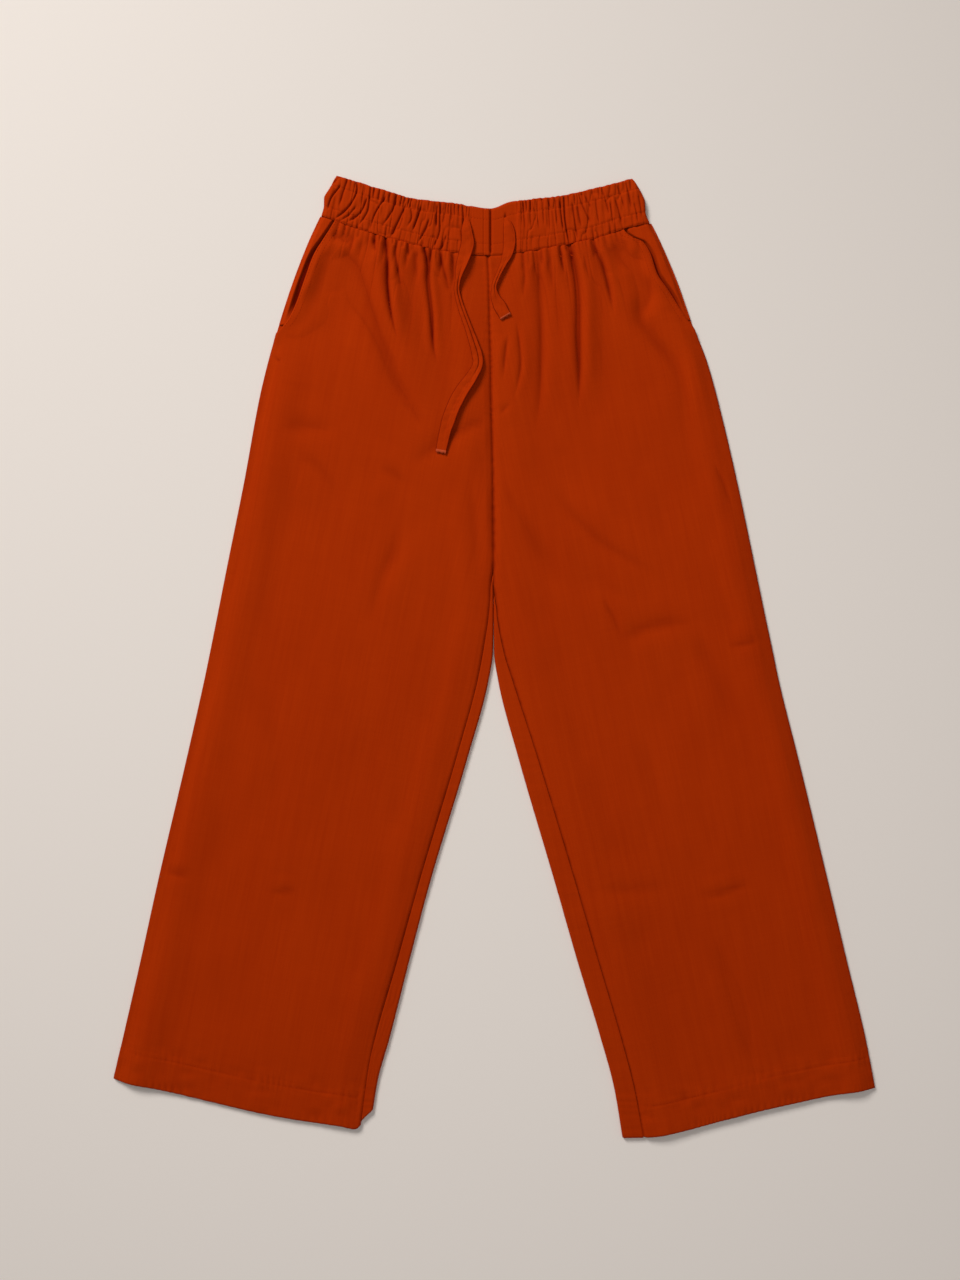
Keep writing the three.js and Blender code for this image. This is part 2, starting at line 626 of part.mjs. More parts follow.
// The part of the pocket's facing that shows in its mouth, running on under the front.
function pocketFacing(leg) {
  const end = leg.mouthEnd + 9;
  const under = (y) => leg.mouth(y) - leg.side * FACING_UNDER;
  const starts = [leg.outer(end), under(end)];
  const panel = makePanel(leg, leg.outer, under, () => end, starts);
  const rows = evenShares(9).map((down) =>
    evenShares(4).map((across) => {
      const { x, y } = panelPoint(panel, across, down);
      return levelStation(across, x, y, EDGE_REST, FACING_CLOTH);
    }),
  );
  return wall(rows);
}

// A point of the waistband, and how much its top edge ruffles.
function bandPoint(across, up, proud) {
  const seamX = mix(bandRight(0), bandLeft(0), across);
  const topX = mix(bandRight(1), bandLeft(1), across);
  const ruffle = RUFFLE * (gatherRise(across) - GATHER_MOST / 2) * up ** 3;
  const x = mix(bandRight(up), bandLeft(up), across);
  return { x, y: mix(bandSeam(seamX), bandTop(topX) + proud, up) + ruffle };
}

// The underside of the band's front, drawn in along its stitch rows.
function bandRest(across, up) {
  const drawn = STITCH_ROWS.reduce((most, row) => Math.max(most, bell(up - row, ROW_SPREAD)), 0);
  const edge = BAND_WIDTH * Math.min(across, 1 - across);
  const side = Math.sin((Math.PI / 2) * clamp(edge / BAND_SIDE_ROLL, 0, 1));
  const fullness = 1 - ROW_DRAWN * drawn - TOP_DRAWN * ease(TOP_FROM, 1, up);
  const puff = BAND_PUFF * (1 - drawn) * ease(0, ROW_SPREAD, up) * ease(1, 1 - ROW_SPREAD, up);
  const lowest = BAND_BACK + LAYER_GAP;
  const level = mix(BODY_REST + CLOTH - BAND_CLOTH, lowest, ease(TOP_FROM, 1, up));
  return mix(lowest, level + puff + gatherRise(across) * fullness, side);
}

function frontBand() {
  const shares = gatherStations(0, 1, 4);
  const rows = BAND_ROWS.map((up) =>
    shares.map((across) => {
      const { x, y } = bandPoint(across, up, 0);
      return levelStation(across, x, y, bandRest(across, up), BAND_CLOTH);
    }),
  );
  return wall(rows);
}

function backBand() {
  const shares = gatherStations(0, 1, 2);
  const rows = [1, 0.62, 0.3, 0].map((up) =>
    shares.map((across) => {
      const { x, y } = bandPoint(across, up, BACK_PEEK);
      return levelStation(across, x, y, 0, BAND_BACK);
    }),
  );
  return wall(rows);
}

// The upper side of the front at a point, whichever piece is there.
function frontTop(x, y) {
  const seamY = bandSeam(x);
  if (y < seamY) {
    const leg = LEGS[x < LEGS[0].frontInner(y) + SEAM_GAP / 2 ? 0 : 1];
    return frontRest(leg, x, y) + CLOTH;
  }
  const up = clamp((y - seamY) / (bandTop(x) - seamY), 0, 1);
  return bandRest(acrossBand(x, up), up) + BAND_CLOTH;
}

// A flat tie lying on the front along a route, resting on the highest cloth under its width.
function tie(route) {
  const line = new THREE.CatmullRomCurve3(route.map(({ x, y }) => new THREE.Vector3(x, y, 0)));
  const count = Math.round(line.getLength() / TIE_STEP);
  const widths = curve(route.map(({ wide }, i) => ({ i, wide })), "i", "wide");
  const sections = evenShares(count).map((share) => {
    const middle = line.getPoint(share);
    const across = new THREE.Vector3(0, 0, 1).cross(line.getTangent(share)).normalize();
    const half = (TIE_WIDTH / 2) * widths(share * (route.length - 1));
    const under = [-1, -0.5, 0, 0.5, 1].map((s) =>
      frontTop(middle.x + across.x * half * s, middle.y + across.y * half * s),
    );
    return { middle, across, half, high: Math.max(...under) };
  });
  const rows = sections.map(({ middle, across, half }, i) => {
    const near = sections.slice(Math.max(i - 1, 0), i + 2).map((section) => section.high);
    const rest = Math.max(...near) + TIE_GAP;
    return TIE_SECTION.map(({ s, thick }) => {
      const [x, y] = [middle.x - across.x * half * s, middle.y - across.y * half * s];
      return levelStation(s, x, y, rest + (TIE_CLOTH * (1 - thick)) / 2, TIE_CLOTH * thick);
    });
  });
  return wall(rows);
}

function mesh(name, geometry, colour) {
  const material = new THREE.MeshStandardMaterial({ color: colour, roughness: 0.9, metalness: 0 });
  const piece = new THREE.Mesh(geometry, material);
  piece.name = name;
  return piece;
}

const trousers = new THREE.Group();
for (const leg of LEGS) {
  trousers.add(mesh(`back_leg_${leg.name}`, backLeg(leg), RUST_SHADE));
  trousers.add(mesh(`front_leg_${leg.name}`, frontLeg(leg), RUST));
  trousers.add(mesh(`pocket_facing_${leg.name}`, pocketFacing(leg), RUST_SHADE));
}
trousers.add(mesh("waistband_back", backBand(), RUST_SHADE));
trousers.add(mesh("waistband_front", frontBand(), RUST));
trousers.add(mesh("drawstring_right", tie(RIGHT_TIE), RUST));
trousers.add(mesh("drawstring_left", tie(LEFT_TIE), RUST));

export default trousers;
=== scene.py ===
# Palazzo trousers laid flat: the cloth, seams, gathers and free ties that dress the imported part.
# Tables and sizes are in millimetres, and turn into metres where a mesh is made. The ties' routes are
# in metres. +Y runs to the waist, +Z is up, and the wearer's right leg lies on the -X side.
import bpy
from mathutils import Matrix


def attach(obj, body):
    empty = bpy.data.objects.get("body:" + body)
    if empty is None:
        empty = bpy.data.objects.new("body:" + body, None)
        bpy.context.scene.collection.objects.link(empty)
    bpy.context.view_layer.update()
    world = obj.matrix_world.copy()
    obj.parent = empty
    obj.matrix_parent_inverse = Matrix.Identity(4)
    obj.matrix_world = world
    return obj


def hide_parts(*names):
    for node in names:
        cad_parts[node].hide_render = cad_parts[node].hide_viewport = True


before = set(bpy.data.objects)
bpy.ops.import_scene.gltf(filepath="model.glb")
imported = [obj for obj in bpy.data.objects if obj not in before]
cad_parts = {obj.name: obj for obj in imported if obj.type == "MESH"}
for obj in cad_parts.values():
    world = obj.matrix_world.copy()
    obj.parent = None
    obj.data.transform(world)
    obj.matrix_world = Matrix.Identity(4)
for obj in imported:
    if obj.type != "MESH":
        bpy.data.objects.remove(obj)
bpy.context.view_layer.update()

import math
from types import SimpleNamespace

import bpy
import numpy as np
from mathutils import Vector

MM = 0.001


def table(columns, rows):
    """The rows of a table as dictionaries with its columns' names."""
    return [dict(zip(columns.split(), row)) for row in rows]


# The picture: straight above, its width and height where the cloth lies
VIEW_CENTRE = (-14.5, 16.8)
VIEW_HEIGHT = 1305.6
VIEW_DISTANCE = 1250
SENSOR = 36
CLOTH_LEVEL = 5

# Cloth and the air between its layers
CLOTH = 1.5  # the front layer with the air under it, as the part's walls have it
FRONT_SHELL = 1.1  # what each layer shows at its edges
BACK_SHELL = 1.2
BAND_SHELL = 1.4
EDGE_THICK = 0.6  # the least thickness of the front panels
BACK_CLEAR = 1.35  # the least height of the front panels' underside, just over the back panels
BAND_BACK = 2
FACING_CLOTH = 1.2
FACING_THIN = 0.35
SEAM_GAP = 0.4
LAYER_GAP = 0.3
LEG_GAP = 0.1
ON_SURFACE = 0.2  # the back panels' points below this height lie on the surface

# Heights of the front layer's underside above the surface
EDGE_REST = CLOTH + LAYER_GAP
SEAM_REST = 3
BODY_REST = 3.5
FACING_REST = EDGE_REST + FACING_CLOTH + 0.35
SIDE_ROLL = 16
SEAM_SETTLE = 8
LEG_FULLNESS = 2.4
FULL_AWAY = 24
FULL_SPREAD = 16
INNER_FULLNESS = 0.7
RELIEF_START = 12  # how far below the waist seam the slow rise and fall has grown

# Construction lines
PANEL_LENGTH = 880
WAIST_Y = 430
HEM_Y = -430
CROTCH_Y = 150
STRIP_TOP = {"right": 84, "left": 62}  # where the back panels start to show beside the inseams
STRIP_EASE = 16
FOLD_MIN = 3
LOW_PULL = 8  # how late a panel's rows bend to follow its lower edge
FLAT_FROM = -24
FLAT_TO = 23
LEG_FLAT_EASE = (12, 0)  # how the gathers stop at the flat front: from how far out to how far inside it
BAND_FLAT_EASE = (3, 2)

# Edges, seams and stitching
EDGE_ROLL = 1.7  # how far in from an edge the cloth rounds over
EDGE_DROP = 0.8
HEM_DROP = 1.2
SEAM_DITCH = 1.4
WAIST_DITCH = 0.5
SEAM_WIDE = 1.5
HEM_DEPTH = 37
HEM_ROW = HEM_DEPTH - 4
HEM_ROW_DEEP = 0.4
HEM_ROW_END = 2
ROW_WIDE = 1.1
HEM_EXTRA = 0.5
HEM_CRINKLE = 0.45
THREAD = 0.2
PUCKER = 0.22
PUCKER_STEP = 9
PUCKER_REACH = 7

# Pocket mouths and facings
MOUTH_ROWS = (1.8, 7.5)
MOUTH_CLOSE = 14
LIP_RISE = 3.4  # a pocket mouth's lifted edge
LIP_AWAY = 5
LIP_WIDE = 8
SLIT_WIDE = {"right": 4.0, "left": 2.6}  # how far a pocket mouth gapes at its widest
SLIT_Y = 386
SLIT_REACH = 62
FACING_UNDER = 14
FACING_END = 9
FACING_CROWN = 3.4
# How dark the shade painted on a pocket facing under the front panel's lip is
UNDER_LIP_SHADE = 0.4

# Folds and gathers of the front
CREASE_CUT = 1.2  # how wide the sharp part of a crease is
CREASE_ROUND = 0.6  # how rounded its bottom is
FOLD_DEPTH = 1.4  # what the folds' depths grow by, for the soft light to show them
FOLD_REACH = 5
FOLD_FADE = 0.55
SHARP_DEPTH = 1.2
SOFT_DEPTH = 0.8
SWELL_AWAY = 2.2
SWELL_WIDE = 1.8
TUCKS_FROM = -170.0
TUCKS_TO = 150
TUCK_FAN = 0.0016
GATHER_FAN = 0.0014
GATHER_PUFF = 1.4
GATHER_FINE = 0.8
GATHER_THIN = 0.7
THIN_LINE = 0.07

# The waistband
BAND_WIDTH = 335
BAND_TALL = 46
BACK_PEEK = 1
STITCH_ROWS = (0.245, 0.755)
ZONE_EASE = 0.04
GATHERS_FROM = -172
GATHERS_TO = 156
BAND_PUFF = 2.0
BAND_DEPTH = 1.05
TOP_DEPTH = 1.7
LOW_DEPTH = 1.1
BAND_CUT = 0.55
BAND_SEAM_WIDE = 1.054
CREASE_RUN = 4  # how far the band's creases run on past the ends that the table gives
FLAT_DRAWN = 0.2  # how deep the stitch rows lie in the flat and in the gathered cloth
GATHERED_DRAWN = 0.4
CENTRE_SEAM = -3.5
CENTRE_FOLD = -10.7
PANEL_RISE = 1.2
EYELET_DEEP = 2.2
UNDER_BAND = (0.7, 1.8)  # how far up the front panels run under the band's edge
UNDER_LEVEL = 2.75

# Ties
TIE_WIDTH = 13
TIE_CLOTH = 1.1
TIE_GAP = 0.3
# How dark the shade painted along a tie's edges is
TIE_EDGE_SHADE = 0.85
FRAY_THREADS = 34

# Where shade is painted into the cloth's colour, darkest in its creases and dips: over how many rows and
# columns its height is compared, and how deep it lies where the painted shade is darkest
CREASE_REACH = (2, 4)
CREASE_DEEP = 1.5
DIP_REACH = (5, 15)
DIP_DEEP = 2.0
DIP_SHADE = 0.34  # how dark a wide dip gets, for a crease's darkest
BAND_REACH = (1, 4)
BAND_SHADE_DEEP = 2.2
TIE_REACH = (1, 2)
TIE_SHADE_DEEP = 0.9

# How finely the pieces are divided. The legs' rows are the first ones, stretches with their steps, and
# the last ones; columns are a width and a step.
FRONT_ROWS = (
    [0, 0.3, 0.8, 1.5],
    [(2.4, 60, 1.45), (60, 160, 2.1), (160, 836, 4.32), (836, 876, 1.9)],
    [877.6, 878.8, 879.6, 880],
)
BACK_ROWS = ([], [(0, 250, 4), (250, 330, 1.6), (330, 835, 3.2), (835, 880, 1.8)], [880])
BAND_ROWS = np.concatenate([[1, 0.995, 0.985, 0.97], np.linspace(0.955, 0.045, 53), [0.03, 0.015, 0.005, 0]])
BAND_BACK_ROWS = np.concatenate([[1, 0.99, 0.97], np.linspace(0.94, 0.06, 31), [0.03, 0.01, 0]])
FACING_ROWS = np.linspace(0, 1, 91)
FRONT_COLUMNS = (170, 0.64)
BAND_COLUMNS = (BAND_WIDTH, 0.5)
BAND_BACK_COLUMNS = (BAND_WIDTH, 1.1)
FACING_COLUMNS = (34, 0.6)
FLAT_SHARES = np.concatenate([[0, 0.002, 0.005, 0.009], np.linspace(0.015, 1, 63)])
TURN_SHARES = np.linspace(0, 1, 21)[1:]
TIE_SHARES = np.array([
    -1, -0.95, -0.86, -0.76, -0.68, -0.5, -0.3, -0.2, -0.13, -0.06, 0.1, 0.35, 0.6, 0.8, 0.9, 0.96, 1,
])

# The layers of soft random hills: their sizes along x and y, and their seeds
HILLS = {
    "lay": (60, 90, 3), "patches": (34, 50, 9), "small dents": (14, 26, 4), "gathers": (6.5, 60, 5),
    "wide gathers": (15, 80, 6), "thin gathers": (11, 70, 7), "lip": (20, 20, 8), "hem": (13, 9, 29),
    "back gathers": (5, 70, 41), "facing": (9, 22, 51), "band": (9, 30, 71), "band lines": (6, 30, 73),
    "band threads": (2.6, 12, 74), "band frill": (9, 9, 75), "band seam": (7, 7, 77),
    "band depth": (11, 9, 79), "band swerve": (9, 12, 80), "tie": (9, 9, 81), "tie crown": (4, 4, 82),
    "tie width": (7, 7, 84),
}

# Each cloth's colours: its light threads, its dark ones, and the painted shade colour that darkens its
# creases and hollows
CLOTH_COLOURS = ((0.445, 0.034, 0.0009), (0.37, 0.024, 0.0005), (0.13, 0.003, 0.0001))
THREAD_COLOURS = ((0.40, 0.026, 0.001), (0.30, 0.016, 0.0005), (0.13, 0.003, 0.0001))
RAW_COLOURS = ((0.62, 0.10, 0.035), (0.50, 0.06, 0.018), (0.45, 0.05, 0.015))
CLOTH_SURFACE = {
    "Roughness": 0.88,
    "Specular IOR Level": 0.02,
    "Sheen Weight": 0.06,
    "Sheen Roughness": 0.45,
    "Sheen Tint": (1.0, 0.12, 0.02, 1),
}
# The cloth's patterns: their scale, detail and roughness
WARP = ((900, 16, 40), 3, 0.6)
WEFT = ((22, 1100, 40), 3, 0.6)
STREAKS = ((160, 5, 20), 2, 0.5)
BROAD = ((9, 5, 5), 3, 0.55)
LEG_GRAIN = {"right": 11, "left": -12}

# The floor and the light, with their sizes and places in metres
FLOOR_HALF = 3.0
FLOOR_LEVEL = -0.0003
FLOOR_SURFACE = {"Roughness": 0.75, "Specular IOR Level": 0.2}
# Painted light: the floor's colour is lighter towards the hems and darker towards the waist, to even out the
# key lamp's stronger light at the waist's end
FLOOR_PAINTED_LIGHT_AT_HEM = (0.97, 0.89, 0.83)
FLOOR_PAINTED_SHADE_AT_WAIST = (0.77, 0.705, 0.655)
FLOOR_SPAN = 0.7  # how far each way along Y the floor's colour changes
LAMPS = table("name place target size power colour", [
    ("key", (-1.5, 2.2, 2.0), (0, 0.25, 0), 1.1, 90, (1, 0.985, 0.96)),
    ("overhead", (0.15, -0.05, 1.5), (0.15, -0.05, 0), 0.9, 4, (1, 0.99, 0.975)),
])
WORLD_COLOUR = (1, 0.985, 0.97)
WORLD_STRENGTH = 0.17

# The legs' sections: the side seam, the inseam on the front face, and the inner edge.
RIGHT_SECTIONS = table("y outer seam inner", [
    (455, -175, -7, -7),
    (425, -189, -7, -7),
    (384, -205, -5.4, -5.4),
    (343, -218.5, -4.4, -4.4),
    (302, -230.5, -3.4, -3.4),
    (262, -240, -2.8, -2.8),
    (180, -255, -1, -1),
    (98, -271.5, -1.4, -0.6),
    (45, -282, -5, -0.6),
    (5, -290, -11, -1.2),
    (-24, -296, -16.5, -5.5),
    (-106, -314.5, -39, -27.8),
    (-228, -343, -75.5, -64.6),
    (-310, -361, -98.5, -86.4),
    (-391, -379.5, -121.5, -107),
    (-432, -389, -129.5, -118.6),
    (-485, -401, -137, -127),
])
LEFT_SECTIONS = table("y outer seam inner", [
    (455, 154, -7, -7),
    (425, 169, -7, -7),
    (384, 186.5, -5.4, -5.4),
    (343, 201, -4.4, -4.4),
    (302, 217, -3.4, -3.4),
    (262, 228.3, -2.8, -2.8),
    (180, 247.7, -1, -1),
    (98, 265, 0, -0.6),
    (45, 276, 2.5, -0.6),
    (5, 284.5, 9.5, -0.2),
    (-24, 290.5, 18.5, 3.8),
    (-106, 311, 45, 25.3),
    (-228, 340.5, 82, 61),
    (-310, 360, 106, 84.5),
    (-391, 379.5, 130, 109),
    (-441, 389, 143, 122.5),
    (-495, 399, 153, 131.5),
])
# The front panels' pocket mouths, from the waistband down to the side seam.
RIGHT_MOUTH = table("y x", [
    (446, -161), (432, -170), (411, -183), (386, -192.5), (364, -200.5), (345, -209.5), (330, -222),
])
LEFT_MOUTH = table("y x", [
    (440, 131), (434, 133), (428, 140), (423, 151),
    (411, 159), (390, 166), (371, 179), (348, 194), (335, 204),
])
# The hems, from side to side.
RIGHT_HEM = table("x y", [
    (-402, -428), (-389, -431.5), (-336, -443.5), (-289, -455), (-231, -468),
    (-186, -475.5), (-158, -479), (-142, -482.5), (-131, -472), (-120, -461),
])
LEFT_HEM = table("x y", [
    (120, -492), (131, -491.5), (153, -491), (193, -484), (233, -473.5),
    (282, -461.5), (321, -453), (361, -445), (389, -441), (402, -439),
])
# The waistband's lower seam, its top edge, and its two side edges from the seam (0) to the top (1).
BAND_SEAM = table("x y", [
    (-178, 450), (-125, 431.5), (-88, 421.5), (-57, 414), (-4, 409),
    (30, 412.5), (68, 419), (99, 425), (136, 437), (162, 443),
])
BAND_TOP = table("x y", [
    (-162, 491), (-118, 478), (-82, 467.5), (-36, 462), (-4, 457),
    (17, 464), (68, 470.5), (99, 477), (143, 488.5),
])
BAND_SIDES = table("up right left", [
    (0, -176.3, 158.5), (0.26, -173.6, 154.2), (0.45, -173.4, 153.8),
    (0.62, -169.8, 151.5), (0.8, -165.5, 147.3), (1, -161, 141),
])

# The waistband's creases between its stitch rows: where each starts, bends and ends, and how
# it is cut in.
BAND_CREASES = table("line wide deep", [
    ([(-156.6, 489), (-163, 484), (-170.7, 475.5)], 2.6, 1.6),
    ([(-159, 476.7), (-166, 467.3), (-169.5, 456.8)], 2.2, 2.4),
    ([(-149.6, 486), (-153, 475.5), (-157.8, 460.3)], 2.2, 1.6),
    ([(-140.2, 481.4), (-140.6, 472), (-149.6, 456.8), (-162.5, 446)], 2.0, 2.6),
    ([(-143.7, 455), (-148, 450), (-155.5, 445)], 1.8, 1.8),
    ([(-130.9, 463.8), (-136.7, 452.1), (-147.3, 443.9)], 2.0, 2.2),
    ([(-127.3, 467), (-128, 458), (-130.9, 450), (-137.9, 439.5)], 2.0, 2.0),
    ([(-112.1, 466), (-121.5, 451), (-126.2, 436)], 2.0, 2.3),
    ([(-100.4, 463), (-105.1, 452.1), (-113.3, 440)], 2.0, 2.0),
    ([(-91, 458), (-98.1, 442.7), (-105.1, 428.7)], 2.0, 2.3),
    ([(-85.2, 458), (-84, 447.4), (-87.5, 440)], 2.2, 1.5),
    ([(-75.8, 455), (-78.2, 447.4), (-82.3, 436)], 2.4, 3.0),
    ([(-67.6, 442), (-71.1, 433.4), (-77, 422.8)], 1.8, 1.9),
    ([(-58.3, 456), (-58.9, 447), (-58.8, 440)], 2.8, 2.8),
    ([(-54.7, 463), (-55.2, 447), (-56, 431), (-63.5, 415)], 1.8, 2.2),
    ([(-43, 458), (-43, 451), (-43.2, 446)], 1.6, 1.4),
    ([(-50, 425.2), (-52, 420), (-55.3, 415)], 1.5, 1.5),
    ([(-31.9, 457), (-31.3, 440), (-33, 426)], 2.4, 2.2),
    ([(30, 461), (30.5, 449), (31.5, 437)], 2.2, 1.5),
    ([(37, 463), (37, 450), (38, 438)], 2.0, 1.2),
    ([(44, 464), (44, 452), (45.5, 438)], 2.2, 1.5),
    ([(50, 465), (50, 454), (51, 441)], 2.0, 1.2),
    ([(55.8, 464), (56, 452), (57, 436)], 2.2, 1.5),
    ([(62.8, 462), (63.3, 452), (64, 442)], 2.0, 1.4),
    ([(67.5, 461), (68.6, 448), (70.5, 434)], 2.2, 1.7),
    ([(71.2, 468), (72, 450), (73.8, 435), (77, 419)], 2.6, 3.2),
    ([(80.4, 458), (82, 446), (83.4, 436), (85, 426)], 2.0, 1.9),
    ([(85.5, 456), (87, 447), (88.5, 440)], 2.0, 1.5),
    ([(87.4, 468), (90.9, 458), (97.9, 444)], 2.2, 1.8),
    ([(92.5, 470), (95.5, 464), (99, 457)], 2.0, 1.3),
    ([(104, 463), (105, 452), (107, 442)], 2.2, 1.4),
    ([(112, 470), (114.5, 462), (117, 452)], 2.2, 1.7),
    ([(119, 459), (120, 451), (121, 443)], 2.0, 1.4),
    ([(124.8, 462), (127.5, 453), (129.5, 445)], 2.2, 1.8),
    ([(127, 476), (129.5, 469), (132, 460)], 2.0, 1.4),
    ([(135, 480), (137.5, 470), (139.5, 459)], 2.2, 1.8),
    ([(143.6, 458), (145, 452), (146, 446)], 2.0, 1.4),
    ([(148, 466), (149.5, 457), (150.5, 450)], 2.2, 1.4),
])
# The folds of the front: the crease's line, its half width and depth, how high the cloth swells
# beside it, to which side it swells more (+ to the line's left), how sharp it is, and how soon it
# reaches its depth.
FRONT_FOLDS = table("line wide deep swell lean sharp start", [
    ([(-111, 431), (-109, 402), (-108.6, 380), (-106, 355), (-102, 335), (-96, 312)],
     3.4, 2.4, 1.7, 0.3, 0.6, 0),
    ([(-98, 425), (-100.5, 410), (-97.5, 391), (-94, 371)], 3.0, 1.7, 1.0, 0.2, 0.6, 0),
    ([(-71.7, 418), (-67.4, 399), (-67.3, 382), (-63.8, 349), (-62, 316), (-57, 292)],
     2.4, 2.4, 1.5, 0.2, 0.8, 0),
    ([(-63.5, 416), (-65, 407), (-67.2, 398)], 2.2, 1.6, 0.6, 0, 0.8, 0),
    ([(-55, 414), (-53, 400), (-48, 382), (-45, 368)], 2.6, 1.4, 0.8, 0, 0.6, 0),
    ([(-150, 415), (-143, 395), (-134, 367), (-124, 342), (-114, 318), (-99, 281), (-82, 252), (-62, 214)],
     9.0, 3.2, 2.3, 0.5, 0, 0.1),
    ([(-121.5, 432), (-122, 420), (-120, 408)], 2.2, 1.3, 0.5, 0, 0.6, 0),
    ([(-103, 428), (-103, 417)], 1.6, 1.1, 0.3, 0, 0.7, 0),
    ([(-87.5, 422), (-86.6, 405)], 1.8, 1.1, 0.4, 0, 0.6, 0),
    ([(-82, 421), (-80, 402), (-79, 380)], 3.4, 1.0, 0.5, 0, 0.3, 0),
    ([(-43, 412), (-41, 394), (-45, 370)], 3.2, 1.0, 0.6, 0, 0.4, 0),
    ([(76.8, 420), (80, 405), (84, 385), (86, 358), (86, 325), (87, 290), (86, 248)],
     4.4, 3.4, 2.4, 0.4, 0.5, 0),
    ([(101.4, 426), (104, 414), (111, 398), (118, 370), (122, 344)], 3.0, 1.7, 1.3, 0.2, 0.5, 0),
    ([(118, 431), (124, 420), (134, 407), (148, 396), (153, 370),
      (150, 345), (163, 325), (189, 287), (197, 215)],
     9.0, 2.5, 1.8, 0.3, 0, 0.15),
    ([(44, 414), (46, 390), (48, 340), (47, 272), (41, 222)], 5.0, 1.6, 1.0, 0.2, 0.3, 0),
    ([(14, 330), (11, 308), (8.5, 280)], 2.4, 0.7, 0.5, -0.4, 0.7, 0.3),
    ([(22, 345), (26, 315), (26.5, 292), (19, 258)], 2.6, 0.8, 0.6, 0.4, 0.6, 0.3),
    ([(4, 246), (10, 252), (18, 260)], 3.0, 0.4, 0.3, 0, 0.3, 0.4),
    ([(67, 419), (68.5, 405), (72.5, 387)], 2.2, 1.6, 0.7, 0, 0.7, 0),
    ([(90, 424), (92, 404), (98, 378)], 2.8, 1.0, 0.5, 0, 0.4, 0),
    ([(30, 412), (31, 390), (29, 362)], 3.0, 1.0, 0.5, 0, 0.4, 0),
    ([(57, 416), (58, 396), (60, 370)], 3.0, 1.0, 0.6, 0, 0.3, 0),
    ([(-168, 431), (-158, 427), (-148, 426), (-143, 433)], 4.5, 1.3, 0.9, -0.6, 0.1, 0.2),
    ([(-186, 396), (-178, 389), (-166, 382), (-152, 378)], 8.0, 1.6, 0.9, 0, 0, 0.3),
    ([(-164, 416), (-156, 390), (-146, 362), (-138, 330)], 13.0, 1.5, 0.3, 0, 0, 0.2),
    ([(-227, 308), (-222, 304), (-216, 299)], 2.0, 0.8, 0.3, 0, 0.5, 0.4),
    ([(-95, 150), (-103, 109), (-115, 78), (-127, 25)], 8.0, 0.9, 0.8, 0.4, 0, 0.5),
    ([(-119, 196), (-106, 190), (-96, 182), (-88, 172)], 7.0, 0.4, 0.35, 0, 0, 0.4),
    ([(-4, 246), (-28, 234), (-58, 216), (-94, 188)], 9.0, 0.9, 0.7, 0.2, 0, 0.2),
    ([(-226, 232), (-200, 236), (-176, 235), (-152, 238)], 9.0, 0.5, 0.45, 0, 0, 0.4),
    ([(-209, 206), (-185, 200), (-166, 176), (-158, 150)], 9.0, 0.5, 0.5, 0, 0, 0.4),
    ([(-30, 200), (-23, 160), (-19, 115), (-18, 55)], 9.0, 1.2, 0.9, 0, 0, 0.4),
    ([(-229, -242), (-216.5, -238.5), (-198, -239)], 4.0, 0.35, 0.3, 0.3, 0, 0.4),
    ([(-340, -216), (-322, -220), (-303, -222)], 5.0, 0.5, 0.4, 0, 0.1, 0.4),
    ([(-240, -20), (-226, -90), (-222, -180)], 16.0, 0.7, 0.7, 0, 0, 0.4),
    ([(8, 192), (26, 146), (52, 102), (78, 58)], 11.0, 1.0, 0.8, 0.2, 0, 0.3),
    ([(47, 190), (76, 152), (108, 120), (146, 96), (184, 78)], 8.0, 0.6, 0.5, 0.2, 0, 0.4),
    ([(109, 66), (115, 52), (122, 39), (132, 12)], 5.0, 0.7, 0.6, 0.3, 0.1, 0.4),
    ([(122, 12), (140, 24), (162, 32), (184, 35), (214, 34)], 9.0, 0.7, 0.6, -0.3, 0, 0.4),
    ([(200, 30), (218, -2), (236, -46), (252, -84)], 10.0, 0.8, 0.7, 0, 0, 0.3),
    ([(222, 202), (233, 178), (245, 143)], 5.0, 0.8, 0.6, 0.3, 0.1, 0.4),
    ([(234, 10), (258, 15), (280, 23)], 5.0, 0.4, 0.4, 0, 0, 0.4),
    ([(203, -243), (231, -240.5), (268, -226)], 4.6, 0.4, 0.35, 0.2, 0, 0.4),
    ([(88, -226), (114, -236), (154, -235), (186, -226)], 10.0, 0.45, 0.5, 0, 0, 0.5),
    ([(220, -275), (240, -330), (252, -363), (262, -408), (272, -458)], 9.0, 1.1, 0.8, 0, 0.1, 0.4),
    ([(150, -60), (162, -130), (188, -200)], 14.0, 0.7, 0.7, 0, 0, 0.4),
    ([(136, -412), (130, -424), (123.5, -439)], 2.0, 1.0, 0.5, 0, 0.7, 0.3),
])
# Where the ties come out of the waistband.
EYELETS = table("x y wide", [(11.6, 448, 1.2), (-28, 443.5, 3.0)])
